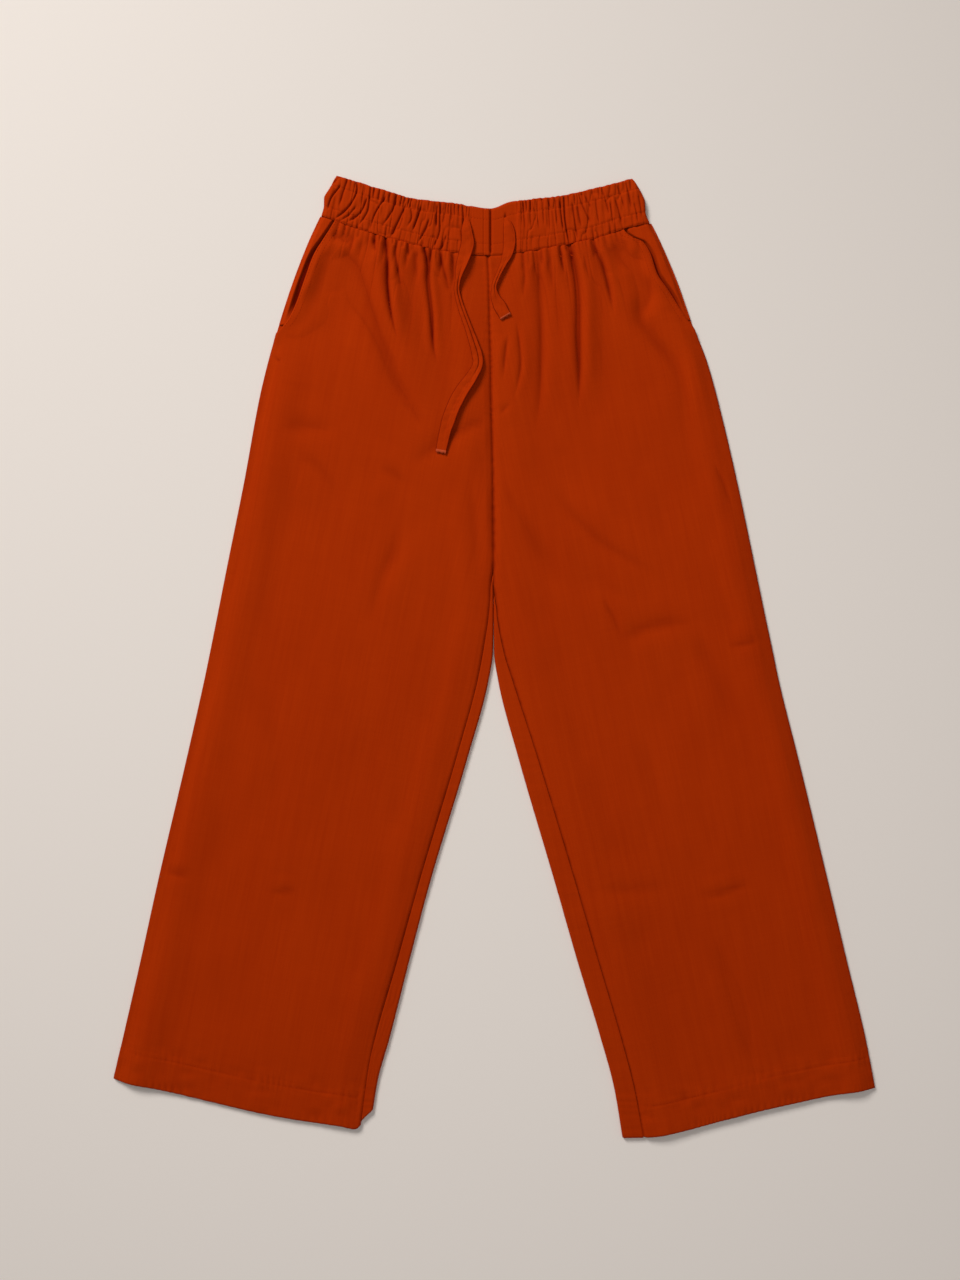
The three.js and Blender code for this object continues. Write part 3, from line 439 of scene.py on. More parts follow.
# The ties' routes in metres: each point's width for the tie's own, how far it is folded along its length,
# how much its right edge lifts, and how high it stands off the cloth.
RIGHT_TIE = table("x y wide folded tilt lift", [
    (-0.028, 0.446, 0.4, 0, 0, -2),
    (-0.028, 0.433, 0.85, 0, 0, 0),
    (-0.027, 0.421, 1.0, 0, 0.6, 0),
    (-0.030, 0.409, 1.0, 0, 1.8, 0.2),
    (-0.034, 0.396, 0.8, 0.2, 2.8, 0.8),
    (-0.037, 0.383, 0.45, 0.6, 1.6, 1.8),
    (-0.038, 0.373, 0.42, 1, 0.4, 1.4),
    (-0.036, 0.363, 0.46, 1, 0, 1.2),
    (-0.033, 0.353, 0.52, 1, 0, 1.0),
    (-0.029, 0.342, 0.56, 1, 0, 1.0),
    (-0.025, 0.331, 0.62, 1, 0, 1.0),
    (-0.021, 0.319, 0.72, 1, 0.6, 1.0),
    (-0.0175, 0.307, 0.84, 0.9, 0.6, 0.6),
    (-0.017, 0.296, 0.8, 0.6, 1.2, 1.2),
    (-0.024, 0.283, 0.95, 0.2, 3.2, 0.8),
    (-0.033, 0.270, 1.05, 0, 3.6, 0.3),
    (-0.0405, 0.256, 1.1, 0, 3.6, 0.1),
    (-0.046, 0.242, 1.05, 0, 3.2, 0.1),
    (-0.0505, 0.227, 0.95, 0, 2.6, 0.1),
    (-0.0545, 0.208, 0.8, 0, 1.6, 0.1),
])
LEFT_TIE = table("x y wide folded tilt lift", [
    (0.012, 0.448, 0.35, 0, 0, -2),
    (0.0145, 0.437, 0.8, 0, 0, 0),
    (0.0155, 0.425, 1, 0, 0.4, 0.2),
    (0.014, 0.412, 0.85, 0, 1.4, 0.9),
    (0.0095, 0.400, 0.5, 0.2, 1.2, 2),
    (0.004, 0.388, 0.36, 0.4, 0.8, 2.6),
    (0, 0.377, 0.36, 0.6, 0.8, 2.2),
    (0.001, 0.366, 0.7, 0.2, 0.8, 1.2),
    (0.006, 0.356, 0.95, 0, 1.4, 0.7),
    (0.0115, 0.346, 0.9, 0, 1.2, 0.5),
])


def mix(a, b, share):
    return a + (b - a) * share


def smooth(low, high, value):
    """0 at low and 1 at high, with a smooth rise between them. Low may be the larger of the two."""
    share = np.clip((value - low) / (high - low), 0, 1)
    return share * share * (3 - 2 * share)


def bell(distance, wide):
    return np.exp(-((distance / wide) ** 2))


def curve(rows, given, wanted):
    """One column of a table as a smooth function of another that doesn't overshoot its rows."""
    ordered = sorted(rows, key=lambda row: row[given])
    xs = np.array([row[given] for row in ordered], float)
    ys = np.array([row[wanted] for row in ordered], float)
    slopes = np.diff(ys) / np.diff(xs)
    before = np.append(slopes[:1], slopes)
    after = np.append(slopes, slopes[-1:])
    total = np.where(before * after > 0, before + after, 1)
    tangents = np.where(before * after > 0, 2 * before * after / total, 0)

    def value(at):
        at = np.asarray(at, float)
        inside = np.clip(at, xs[0], xs[-1])
        i = np.clip(np.searchsorted(xs, inside, side="right") - 1, 0, len(slopes) - 1)
        span = xs[i + 1] - xs[i]
        t = (inside - xs[i]) / span
        start = ys[i] * (1 + 2 * t) * (1 - t) ** 2 + tangents[i] * span * t * (1 - t) ** 2
        end = ys[i + 1] * t * t * (3 - 2 * t) - tangents[i + 1] * span * t * t * (1 - t)
        past = at - inside
        return start + end + past * np.where(past < 0, tangents[0], tangents[-1])

    return value


def noise(x, y, size_x, size_y, seed):
    """Soft random hills from -1 to 1, about size_x by size_y millimetres."""
    count = 97
    cells = np.random.default_rng(seed).uniform(-1, 1, (count, count))
    u, v = np.asarray(x, float) / size_x, np.asarray(y, float) / size_y
    i, j = np.floor(u).astype(int), np.floor(v).astype(int)
    s, t = u - i, v - j
    s, t = s * s * (3 - 2 * s), t * t * (3 - 2 * t)
    low = mix(cells[i % count, j % count], cells[(i + 1) % count, j % count], s)
    high = mix(cells[i % count, (j + 1) % count], cells[(i + 1) % count, (j + 1) % count], s)
    return mix(low, high, t)


def hills(name, x, y=0.0):
    """One of the named layers of soft random hills."""
    return noise(x, y, *HILLS[name])


def thin_lines(name, x, y):
    """Thin wandering lines, 1 where a line runs and 0 away from it."""
    return np.exp(-np.abs(hills(name, x, y)) / THIN_LINE)


def smooth_line(points, steps=8):
    """A smooth line through the points, with several steps between each two of them."""
    known = np.array(points, float)
    padded = np.vstack([2 * known[0] - known[1], known, 2 * known[-1] - known[-2]])
    t = (np.arange(steps) / steps)[:, None]
    parts = []
    for a, b, c, d in zip(padded, padded[1:], padded[2:], padded[3:]):
        bend = (2 * a - 5 * b + 4 * c - d) * t**2 + (3 * b - a - 3 * c + d) * t**3
        parts.append(0.5 * (2 * b + (c - a) * t + bend))
    return np.vstack([*parts, known[-1:]])


def stretched_line(points, by):
    """The points with both ends moved outwards along their own directions."""
    known = np.array(points, float)
    for end, beside in ((0, 1), (-1, -2)):
        way = known[end] - known[beside]
        known[end] += by * way / np.hypot(*way)
    return known


def nearest_on(line, x, y):
    """How far along the line each place is, from 0 to 1, and how far off it, positive on its left."""
    step = np.diff(line, axis=0)
    lengths = np.hypot(step[:, 0], step[:, 1])
    done = np.append(0, np.cumsum(lengths))
    gap_x = x[:, None] - line[:-1, 0]
    gap_y = y[:, None] - line[:-1, 1]
    t = np.clip((gap_x * step[:, 0] + gap_y * step[:, 1]) / lengths**2, 0, 1)
    away = np.hypot(gap_x - t * step[:, 0], gap_y - t * step[:, 1])
    best = away.argmin(1)
    rows = np.arange(len(x))
    along = (done[best] + t[rows, best] * lengths[best]) / done[-1]
    turn = step[best, 0] * gap_y[rows, best] - step[best, 1] * gap_x[rows, best]
    return along, np.sign(turn) * away[rows, best]


def near_line(line, reach, x, y):
    """Which places lie within reach of a line's box."""
    low, high = line.min(0) - reach, line.max(0) + reach
    return (x > low[0]) & (x < high[0]) & (y > low[1]) & (y < high[1])


def cut_in(away, wide):
    """A crease's cross-section, 1 along its line: narrow, with a slightly rounded bottom."""
    return np.exp(CREASE_ROUND - np.hypot(away / wide, CREASE_ROUND))


def fold_relief(folds, x, y):
    """Height that folds add: a crease along each line with a swell on both sides of it."""
    relief = np.zeros(x.shape)
    for fold in folds:
        line = smooth_line(fold["line"])
        wide = fold["wide"]
        near = near_line(line, FOLD_REACH * wide, x, y)
        if not near.any():
            continue
        along, away = nearest_on(line, x[near], y[near])
        grown = smooth(0, fold["start"], along) if fold["start"] else 1
        strength = grown * smooth(1, FOLD_FADE, along)
        sharp = SHARP_DEPTH * cut_in(away, CREASE_CUT)
        crease = mix(SOFT_DEPTH * bell(away, wide), sharp, fold["sharp"])
        swell = bell(np.abs(away) - SWELL_AWAY * wide, SWELL_WIDE * wide)
        swell = swell * (1 + fold["lean"] * np.sign(away))
        relief[near] += strength * (fold["swell"] * swell - FOLD_DEPTH * fold["deep"] * crease)
    return relief


band_seam = curve(BAND_SEAM, "x", "y")
band_top = curve(BAND_TOP, "x", "y")
band_right = curve(BAND_SIDES, "up", "right")
band_left = curve(BAND_SIDES, "up", "left")


class Leg:
    """One leg's edges as functions of y. Side is -1 for the wearer's right."""

    def __init__(self, name, side, sections, mouth, hem):
        self.name = name
        self.side = side
        self.outer = curve(sections, "y", "outer")
        self.seam = curve(sections, "y", "seam")
        self.inner = curve(sections, "y", "inner")
        self.mouth = curve(mouth, "y", "x")
        self.mouth_end = mouth[-1]["y"]
        self.strip_top = STRIP_TOP[name]
        self.hem = curve(hem, "x", "y")

    def turn(self, y):
        return np.maximum(self.side * (self.seam(y) - self.inner(y)), FOLD_MIN)

    def below_crotch(self, y):
        return smooth(self.strip_top + STRIP_EASE, self.strip_top - STRIP_EASE, y)

    def back_inner(self, y):
        return self.inner(y) + self.side * LEG_GAP / 2

    def front_outer(self, y):
        return np.where(y > self.mouth_end, self.mouth(y), self.outer(y))

    def front_inner(self, y):
        drawn = mix(SEAM_GAP / 2, self.turn(y) + SEAM_GAP, self.below_crotch(y))
        return self.inner(y) + self.side * drawn


LEGS = [
    Leg("right", -1, RIGHT_SECTIONS, RIGHT_MOUTH, RIGHT_HEM),
    Leg("left", 1, LEFT_SECTIONS, LEFT_MOUTH, LEFT_HEM),
]


def corner(edge_at, line, start_x):
    """Where an edge meets a line that runs across it."""
    x = start_x
    for _ in range(30):
        x = float(edge_at(line(x)))
    return x


def waist_line(x):
    return band_seam(x) - SEAM_GAP


def make_panel(leg, outer_at, inner_at, lower, low_starts):
    """A panel from the waist seam down to its lower edge, between two edges in the order of +X."""
    edges = []
    for at, low_start in zip((outer_at, inner_at), low_starts):
        top_x = corner(at, waist_line, float(at(WAIST_Y)))
        edges.append(SimpleNamespace(at=at, top_x=top_x, low_x=corner(at, lower, low_start)))
    return SimpleNamespace(lower=lower, edges=edges if leg.side < 0 else edges[::-1])


def panel_points(panel, across, down):
    """Places on a panel: across 0 to 1 in +X, down 0 to 1 from the waist seam to its lower edge."""
    ends = []
    for edge in panel.edges:
        y = mix(waist_line(edge.top_x), panel.lower(edge.low_x), down)
        ends.append((edge.at(y), y))
    first, second = panel.edges

    def bow(line, a, b):
        return line(mix(a, b, across)) - mix(line(a), line(b), across)

    seam_bow = bow(band_seam, first.top_x, second.top_x) * (1 - down) ** 3
    low_bow = bow(panel.lower, first.low_x, second.low_x) * down**LOW_PULL
    x = mix(ends[0][0], ends[1][0], across)
    return x, mix(ends[0][1], ends[1][1], across) + seam_bow + low_bow


def rounded(away, reach, drop):
    """How far an edge has rounded down, at a distance in from it."""
    share = 1 - np.clip(away / reach, 0, 1)
    return drop * (1 - np.sqrt(1 - share**2))


def lay_wave(x, y):
    """The slow rise and fall of cloth that was smoothed by hand."""
    waves = 0.5 * np.sin(x / 31 + y / 90) + 0.5 * np.sin(y / 47 - x / 120 + 1.3)
    patches = 0.5 * hills("lay", x, y) + 0.55 * hills("patches", x, y)
    return waves + patches + 0.14 * hills("small dents", x, y)


def puckers(along, away, seed):
    """Small ripples along a row of stitches."""
    step = PUCKER_STEP * (1 + 0.25 * noise(along, 0, 40, 40, seed))
    strength = 0.6 + 0.4 * noise(along, 0, 25, 25, seed + 1)
    return PUCKER * strength * np.sin(2 * math.pi * along / step) * bell(away, PUCKER_REACH)


def small_tucks(seed):
    """The short tucks that run on into the legs from the gathers between the long folds."""
    rng = np.random.default_rng(seed)
    tucks = []
    x = TUCKS_FROM
    while x < TUCKS_TO:
        x += rng.uniform(4.2, 7.8)
        if FLAT_FROM - 4 < x < FLAT_TO + 2:
            continue
        top = float(band_seam(x)) + 1
        long = rng.uniform(8, 34)
        fan = TUCK_FAN * x * long + rng.uniform(-1.2, 1.2)
        tucks.append({
            "line": [(x, top), (x + 0.5 * fan, top - 0.5 * long), (x + fan, top - long)],
            "wide": rng.uniform(1.6, 3.0), "deep": rng.uniform(0.3, 1.0), "swell": rng.uniform(0.2, 0.5),
            "lean": rng.uniform(-0.4, 0.4), "sharp": rng.uniform(0.3, 0.8), "start": 0,
        })
    return tucks


TUCKS = small_tucks(11)


def in_flat(x, out, inside):
    """1 on the ungathered centre front and 0 past it, changing from out beyond its edges to inside them."""
    return smooth(FLAT_FROM - out, FLAT_FROM + inside, x) * smooth(FLAT_TO + out, FLAT_TO - inside, x)


def waist_gathers(x, y, drop):
    """The fine gathers that the waist's seam gives the front panels."""
    fan = x * (1 - GATHER_FAN * drop)
    fine = hills("gathers", fan, y) * bell(drop, 60) + 0.5 * hills("wide gathers", fan, y) * bell(drop, 130)
    thin = thin_lines("thin gathers", fan, y) * bell(drop, 75)
    swell = GATHER_PUFF * bell(drop, 26) + GATHER_FINE * fine - GATHER_THIN * thin
    return (1 - in_flat(x, *LEG_FLAT_EASE)) * swell


def front_distances(leg, x, y):
    """How far places are in from a front panel's edges, below the waist seam and above the hem."""
    return SimpleNamespace(
        outer=np.abs(x - leg.front_outer(y)),
        inner=np.abs(x - leg.front_inner(y)),
        drop=np.maximum(0, band_seam(x) - y),
        hem=y - leg.hem(x),
        closed=smooth(leg.mouth_end, leg.mouth_end - MOUTH_CLOSE, y),
    )


def front_rest(leg, x, y, away):
    """The underside of a front panel, with its slow rise and fall and its folds."""
    side = np.sin(math.pi / 2 * np.clip(away.outer / SIDE_ROLL, 0, 1))
    outer_rest = mix(BODY_REST, mix(EDGE_REST, BODY_REST, side), away.closed)
    seamed = leg.below_crotch(y) * (1 - np.clip(away.inner / SEAM_SETTLE, 0, 1))
    inner_rest = mix(BODY_REST, SEAM_REST, seamed)
    filled = smooth(leg.mouth_end + 20, leg.mouth_end - 75, y)
    outer_full = bell(away.outer - FULL_AWAY, FULL_SPREAD) * filled
    inner_full = INNER_FULLNESS * bell(away.inner - FULL_AWAY, FULL_SPREAD)
    clear = smooth(0, SIDE_ROLL, away.outer) * smooth(0, SIDE_ROLL / 2, away.inner)
    slow = lay_wave(x, y) + LEG_FULLNESS * (outer_full + inner_full)
    slow = clear * slow * smooth(0, RELIEF_START, away.drop)
    folds = fold_relief(FRONT_FOLDS, x, y) + fold_relief(TUCKS, x, y)
    folds = folds * mix(clear, 1, bell(away.drop, 30))
    rest = np.minimum(outer_rest, inner_rest) + slow + folds + waist_gathers(x, y, away.drop)
    over_facing = smooth(FACING_UNDER + 2 * SIDE_ROLL, FACING_UNDER + 8, away.outer)
    return np.maximum(mix(EDGE_REST, FACING_REST, over_facing * (1 - away.closed)), rest)


def front_sewing(leg, x, y, away):
    """What the pocket's lip, the hem, the seams and the stitching add to a front panel."""
    on_mouth = smooth(leg.mouth_end, leg.mouth_end + 45, y) * smooth(8, 55, away.drop)
    lip = LIP_RISE * bell(away.outer - LIP_AWAY, LIP_WIDE) * on_mouth * (1 + 0.3 * hills("lip", y))
    hem = HEM_EXTRA * smooth(HEM_DEPTH + 2, HEM_DEPTH - 6, away.hem)
    crinkle = HEM_CRINKLE * hills("hem", x, y) * bell(away.hem - 22, 26)
    from_row = away.hem - HEM_ROW
    sewn = HEM_ROW_DEEP * bell(from_row, ROW_WIDE)
    ditch = SEAM_DITCH * bell(away.inner, SEAM_WIDE) + WAIST_DITCH * bell(away.drop, SEAM_WIDE)
    ripples = puckers(y, away.inner, 21) + puckers(y, away.outer, 23) * away.closed
    ripples = ripples + puckers(x, from_row, 25) + 1.4 * puckers(x, away.hem, 27)
    edges = rounded(away.outer, EDGE_ROLL, EDGE_DROP) + rounded(away.hem, EDGE_ROLL, HEM_DROP)
    return lip + hem + crinkle - sewn - ditch + ripples - edges


def front_top(leg, x, y):
    """The upper side of a front panel above the surface."""
    away = front_distances(leg, x, y)
    return front_rest(leg, x, y, away) + CLOTH + front_sewing(leg, x, y, away)


def in_scene(name, data):
    """A new object in the scene."""
    thing = bpy.data.objects.new(name, data)
    bpy.context.scene.collection.objects.link(thing)
    return thing


def mesh_piece(name, points, faces, material, painted_shade=()):
    """A smooth mesh from points in millimetres. Its last argument gives the first points' painted shade,
    darker the deeper in a crease they lie, which the material paints into their colour.
    """
    mesh = bpy.data.meshes.new(name)
    mesh.from_pydata((np.asarray(points) * MM).tolist(), [], faces)
    mesh.polygons.foreach_set("use_smooth", np.ones(len(mesh.polygons), bool))
    mesh.materials.append(material)
    depth = np.zeros(len(points))
    depth[:len(painted_shade)] = painted_shade
    mesh.attributes.new("painted_shade", "FLOAT", "POINT").data.foreach_set("value", depth)
    mesh.update()
    return in_scene(name, mesh)


def softened(grid, reach, axis):
    """A grid's running mean along one of its axes."""
    sides = [(reach, reach) if side == axis else (0, 0) for side in (0, 1)]
    kernel = np.ones(2 * reach + 1) / (2 * reach + 1)
    return np.apply_along_axis(np.convolve, axis, np.pad(grid, sides, "edge"), kernel, "valid")


def hollowness(height, reach, deep):
    """How far each place of a grid lies below the mean of its neighbours, 0 to 1, for how much shade is
    painted into its colour.
    """
    below = softened(softened(height, reach[0], 0), reach[1], 1) - height
    return np.clip(below / deep, 0, 1).ravel()


def front_painted_shade(height):
    """Painted shade: dark in the sharp creases, and a little darker in the wide dips."""
    dips = hollowness(height, DIP_REACH, DIP_DEEP)
    return np.maximum(hollowness(height, CREASE_REACH, CREASE_DEEP), DIP_SHADE * dips)


def grid_faces(rows, columns, first):
    """The faces of a grid of points, and the points round its edge."""
    index = first + np.arange(rows * columns).reshape(rows, columns)
    quads = np.stack([index[:-1, :-1], index[1:, :-1], index[1:, 1:], index[:-1, 1:]], -1).reshape(-1, 4)
    return quads, np.concatenate([index[0, :-1], index[:-1, -1], index[-1, :0:-1], index[:0:-1, 0]])


def sheet_shell(shown, hidden, bulge, shown_up=True):
    """Points and faces of a closed sheet with a rounded rim. Rows run down and columns in +X, an odd
    count of each; the hidden side keeps every other one."""
    rows, columns = shown.shape[:2]
    quads, loop = grid_faces(rows, columns, 0)
    row, column = np.unravel_index(loop, (rows, columns))
    inner = shown[np.clip(row, 1, rows - 2), np.clip(column, 1, columns - 2)]
    outward = shown[row, column] - inner
    outward[:, 2] = 0
    outward /= np.maximum(np.linalg.norm(outward, axis=1, keepdims=True), 1e-6)
    rim = (shown[row, column] + hidden[row, column]) / 2 + bulge * outward
    coarse = hidden[::2, ::2]
    middle = rows * columns + np.arange(len(loop))
    back_quads, back_loop = grid_faces(*coarse.shape[:2], rows * columns + len(loop))
    wall = np.stack([loop, np.roll(loop, -1), np.roll(middle, -1), middle], -1)
    even, odd = middle[::2], middle[1::2]
    later, back_later = np.roll(even, -1), np.roll(back_loop, -1)
    corners = ((even, odd, back_loop), (odd, back_later, back_loop), (odd, later, back_later))
    zipped = np.vstack([np.stack(three, -1) for three in corners])
    points = np.vstack([shown.reshape(-1, 3), rim, coarse.reshape(-1, 3)])
    faces = [*quads.tolist(), *back_quads[:, ::-1].tolist(), *wall.tolist(), *zipped.tolist()]
    return points, faces if shown_up else [face[::-1] for face in faces]


def edge_steps(width, step):
    """Shares of a width that are close together at both edges."""
    near = np.array([0, 0.3, 0.8, 1.5, 2.4, 3.6])
    count = 2 * int((width - 2 * near[-1]) / step / 2)
    middle = np.linspace(near[-1], width - near[-1], count + 1)
    return np.concatenate([near[:-1], middle, (width - near[:-1])[::-1]]) / width


def panel_rows(first, stretches, last):
    """Shares of a leg's length. Each stretch gives where it starts and ends, and its step."""
    steps = [np.arange(*stretch) for stretch in stretches]
    return np.concatenate([first, *steps, last]) / PANEL_LENGTH


def front_leg(leg, material):
    panel = make_panel(leg, leg.front_outer, leg.front_inner, leg.hem, (leg.side * 389, leg.side * 140))
    rows = panel_rows(*FRONT_ROWS)
    x, y = panel_points(panel, *np.meshgrid(edge_steps(*FRONT_COLUMNS), rows))
    top = np.maximum(front_top(leg, x, y), BACK_CLEAR + EDGE_THICK)
    low = np.maximum(top - FRONT_SHELL, BACK_CLEAR)
    edge_x, edge_y = x[0], y[0]
    for up in UNDER_BAND:
        x, y = np.vstack([edge_x, x]), np.vstack([edge_y + up, y])
        top = np.vstack([np.full(edge_x.shape, UNDER_LEVEL), top])
        low = np.vstack([np.full(edge_x.shape, UNDER_LEVEL - 0.5), low])
    shell = sheet_shell(np.stack([x, y, top], -1), np.stack([x, y, low], -1), FRONT_SHELL / 3)
    # The front's creases and dips get shade painted into their colour.
    return mesh_piece(f"front_leg_{leg.name}.cloth", *shell, material, front_painted_shade(top))


def turned_edge(leg, flat, down):
    """Shifts a back panel's flat part to where its inner edge starts to turn, and gives the turned part
    and its inward directions. Below the crotch the edge comes round to the front panel's inseam."""
    x, y = flat
    end_x, end_y = x[:, -1:], y[:, -1:]
    turned = smooth(leg.strip_top + STRIP_EASE - 6, leg.strip_top - STRIP_EASE, end_y)
    radius = (SEAM_REST + CLOTH) / 2
    shift = leg.side * radius * np.sin(math.pi * np.minimum(turned, 0.5))
    arc = math.pi * radius * turned
    beyond = np.maximum(leg.turn(end_y) - radius - SEAM_GAP / 2, 0) * turned
    held = np.maximum(FOLD_MIN - arc - beyond, 0)
    x = x + (shift + leg.side * held) * FLAT_SHARES**4
    travel = TURN_SHARES * (arc + beyond + held) - held
    angle = np.clip(travel / radius, 0, math.pi * turned)
    over = np.maximum(travel - arc, 0)
    out = radius * np.sin(angle) + over * np.cos(math.pi * turned) + np.minimum(travel, 0)
    hook_x = end_x + shift - leg.side * out
    hook_y = end_y + down**LOW_PULL * (leg.hem(hook_x) - leg.hem(x[:, -1:]))
    hook_x = hook_x + leg.inner(hook_y) - leg.inner(end_y)
    hook_z = radius * (1 - np.cos(angle)) + over * np.sin(math.pi * turned)
    inward = np.stack([leg.side * np.sin(angle), 0 * angle, np.cos(angle)], -1)
    return np.stack([x, y, 0 * x], -1), np.stack([hook_x, hook_y, hook_z], -1), inward


def back_leg(leg, material):
    """A back panel: flat on the surface, with its inner edge turned to the front below the crotch."""
    panel = make_panel(leg, leg.outer, leg.back_inner, leg.hem, (leg.side * 389, leg.side * 124))
    down = panel_rows(*BACK_ROWS)
    shares = FLAT_SHARES if leg.side < 0 else 1 - FLAT_SHARES
    flat, hook, turned_in = turned_edge(leg, panel_points(panel, *np.meshgrid(shares, down)), down[:, None])
    outside = np.concatenate([flat, hook], 1)
    inward = np.concatenate([np.broadcast_to([0.0, 0.0, 1.0], flat.shape), turned_in], 1)
    x, y, z = np.moveaxis(outside, -1, 0)
    relief = back_relief(leg, x, y) * (z < ON_SURFACE)
    relief = relief + smooth(2, 3.5, z) * (0.25 + puckers(y, 0, 31))
    outside = outside + inward * relief[..., None]
    inside = outside + inward * BACK_SHELL
    if leg.side > 0:
        outside, inside = outside[:, ::-1], inside[:, ::-1]
    shell = sheet_shell(outside, inside, BACK_SHELL / 3, shown_up=False)
    return mesh_piece(f"back_leg_{leg.name}.cloth", *shell, material)


def back_relief(leg, x, y):
    """How far the pressed underside draws up along its seams, hem stitching and gathers."""
    drop = np.maximum(0, band_seam(x) - y)
    gathers = np.maximum(0, 0.5 * hills("back gathers", x, y) + 0.2) * bell(drop, 26)
    seat_seam = 0.5 * bell(x - leg.back_inner(y), 1.6) * (y > CROTCH_Y)
    hem_row = 0.35 * bell(y - leg.hem(x) - HEM_ROW, ROW_WIDE)
    return gathers + seat_seam + hem_row + WAIST_DITCH * bell(drop, SEAM_WIDE)


def pocket_facing(leg, material):
    """The facing that shows in a pocket's mouth, lowest where it runs under the front panel's lip."""
    end = leg.mouth_end + FACING_END

    def under_lip(y):
        return leg.mouth(y) - leg.side * FACING_UNDER

    panel = make_panel(leg, leg.outer, under_lip, lambda x: end + 0 * x, (leg.outer(end), under_lip(end)))
    x, y = panel_points(panel, *np.meshgrid(edge_steps(*FACING_COLUMNS), FACING_ROWS))
    from_side = np.abs(x - leg.outer(y))
    to_mouth = leg.side * (x - leg.mouth(y))
    drop = np.maximum(0, band_seam(x) - y)
    slit = mix(SLIT_WIDE[leg.name], 1, smooth(0, 1, np.abs(y - SLIT_Y) / SLIT_REACH))
    gaping = smooth(leg.mouth_end + 10, leg.mouth_end + 34, y)
    crown = FACING_CROWN * mix(0.4, smooth(slit, slit + 3.5, to_mouth), gaping) * smooth(0, 6, from_side)
    creases = 0.7 * hills("facing", x, y) * smooth(2, 9, to_mouth) + puckers(y, from_side, 53)
    ditches = rounded(from_side, EDGE_ROLL, 0.3) + WAIST_DITCH * bell(drop, SEAM_WIDE)
    top = np.maximum(EDGE_REST + 0.4 + crown + creases - ditches, EDGE_REST + FACING_THIN)
    low = np.full(x.shape, EDGE_REST)
    # Shade painted into the facing's colour: dark in the gaping slit of the mouth, and dimmer where it runs
    # under the front panel's lip.
    slit_shade = 1.2 * gaping * bell(to_mouth - 0.5 * slit, 0.85 * slit) * smooth(0, 5, from_side)
    painted_shade = np.clip(np.maximum(slit_shade, UNDER_LIP_SHADE * (to_mouth < 0)), 0, 1).ravel()
    shell = sheet_shell(np.stack([x, y, top], -1), np.stack([x, y, low], -1), 0.3)
    return mesh_piece(f"pocket_facing_{leg.name}.cloth", *shell, material, painted_shade)


def uneven_lines(low, high, seed):
    """Uneven places across the band, low to high apart, each with its own depth."""
    rng = np.random.default_rng(seed)
    places = [GATHERS_FROM + rng.uniform(0, low)]
    while places[-1] < GATHERS_TO:
        places.append(places[-1] + rng.uniform(low, high))
    return np.array(places), rng.uniform(0.45, 1, len(places))


TOP_RUFFLES = uneven_lines(2.2, 7.2, 61)
LOW_TUCKS = uneven_lines(3.5, 11.0, 63)
BACK_GATHERS = uneven_lines(5.0, 9.0, 65)


def lines_relief(lines, x, wide):
    """Creases that run up the band at uneven places."""
    relief = np.zeros(x.shape)
    for place, depth in zip(*lines):
        relief += depth * cut_in(x - place, wide)
    return relief


def band_creases(x, y):
    """The depth of the band's long creases."""
    depth = np.zeros(x.shape)
    for crease in BAND_CREASES:
        line = smooth_line(stretched_line(crease["line"], CREASE_RUN))
        near = near_line(line, 4 * crease["wide"], x, y)
        along, away = nearest_on(line, x[near], y[near])
        shape = 0.95 * cut_in(away, BAND_CUT) + 0.1 * bell(away, crease["wide"])
        strength = smooth(-0.05, 0.12, along) * smooth(1.02, 0.7, along)
        depth[near] = np.maximum(depth[near], BAND_DEPTH * crease["deep"] * strength * shape)
    return depth


def gathered_relief(x, y, up):
    """How the band's casing puffs out and creases where its elastic gathers it."""
    top_zone = smooth(STITCH_ROWS[1] - ZONE_EASE, STITCH_ROWS[1] + ZONE_EASE, up)
    low_zone = smooth(STITCH_ROWS[0] + ZONE_EASE, STITCH_ROWS[0] - ZONE_EASE, up)
    middle = (1 - top_zone) * (1 - low_zone)
    lean = x - 7 * (up - 0.5) * smooth(-20, -60, x) + 4 * (up - 0.5) * smooth(20, 60, x)
    puff = BAND_PUFF * (1 + 0.25 * hills("band", lean, y) * middle)
    uneven = 1 + 0.6 * hills("band depth", x, y)
    swerve = lean + 1.2 * hills("band swerve", x, y)
    ruffles = top_zone * TOP_DEPTH * uneven * lines_relief(TOP_RUFFLES, swerve, 0.55)
    tucks = low_zone * LOW_DEPTH * uneven * lines_relief(LOW_TUCKS, swerve, 0.6)
    ripple = 1.3 * thin_lines("band lines", lean, y) + 0.5 * hills("band threads", lean, y)
    return puff - ruffles - tucks - ripple


def flat_relief(x, up):
    """The centre seam of the band's ungathered front, and the panel that stands up beside it."""
    centre = 2.2 * cut_in(x - CENTRE_SEAM, 0.8) * smooth(0.0, 0.1, up) + 0.5 * bell(x - CENTRE_FOLD, 0.6)
    return in_flat(x, *BAND_FLAT_EASE) * PANEL_RISE * smooth(-26, -21, x) * smooth(-3, -6, x) - centre


def by_stitch_rows(up, wide):
    return np.maximum(bell(up - STITCH_ROWS[0], wide), bell(up - STITCH_ROWS[1], wide))


def band_height(x, y, up, edge):
    """The upper side of the waistband's front. Edge is how far a place is from the band's sides."""
    gathered = 1 - in_flat(x, *BAND_FLAT_EASE)
    drawn = by_stitch_rows(up, 0.02) * mix(FLAT_DRAWN, GATHERED_DRAWN, gathered)
    eyelets = sum(bell(x - spot["x"], spot["wide"]) * bell(y - spot["y"], 3.4) for spot in EYELETS)
    seam = 0.9 * bell(up * BAND_TALL, BAND_SEAM_WIDE)
    edges = seam + rounded(edge, 6, 2.6) + rounded((1 - up) * BAND_TALL, 2.5, 1.8)
    height = BODY_REST + CLOTH + 0.2 + gathered * gathered_relief(x, y, up) + flat_relief(x, up)
    height = height - band_creases(x, y) - drawn - EYELET_DEEP * eyelets - edges
    return np.maximum(height, BAND_BACK + LAYER_GAP + BAND_SHELL * 0.6)


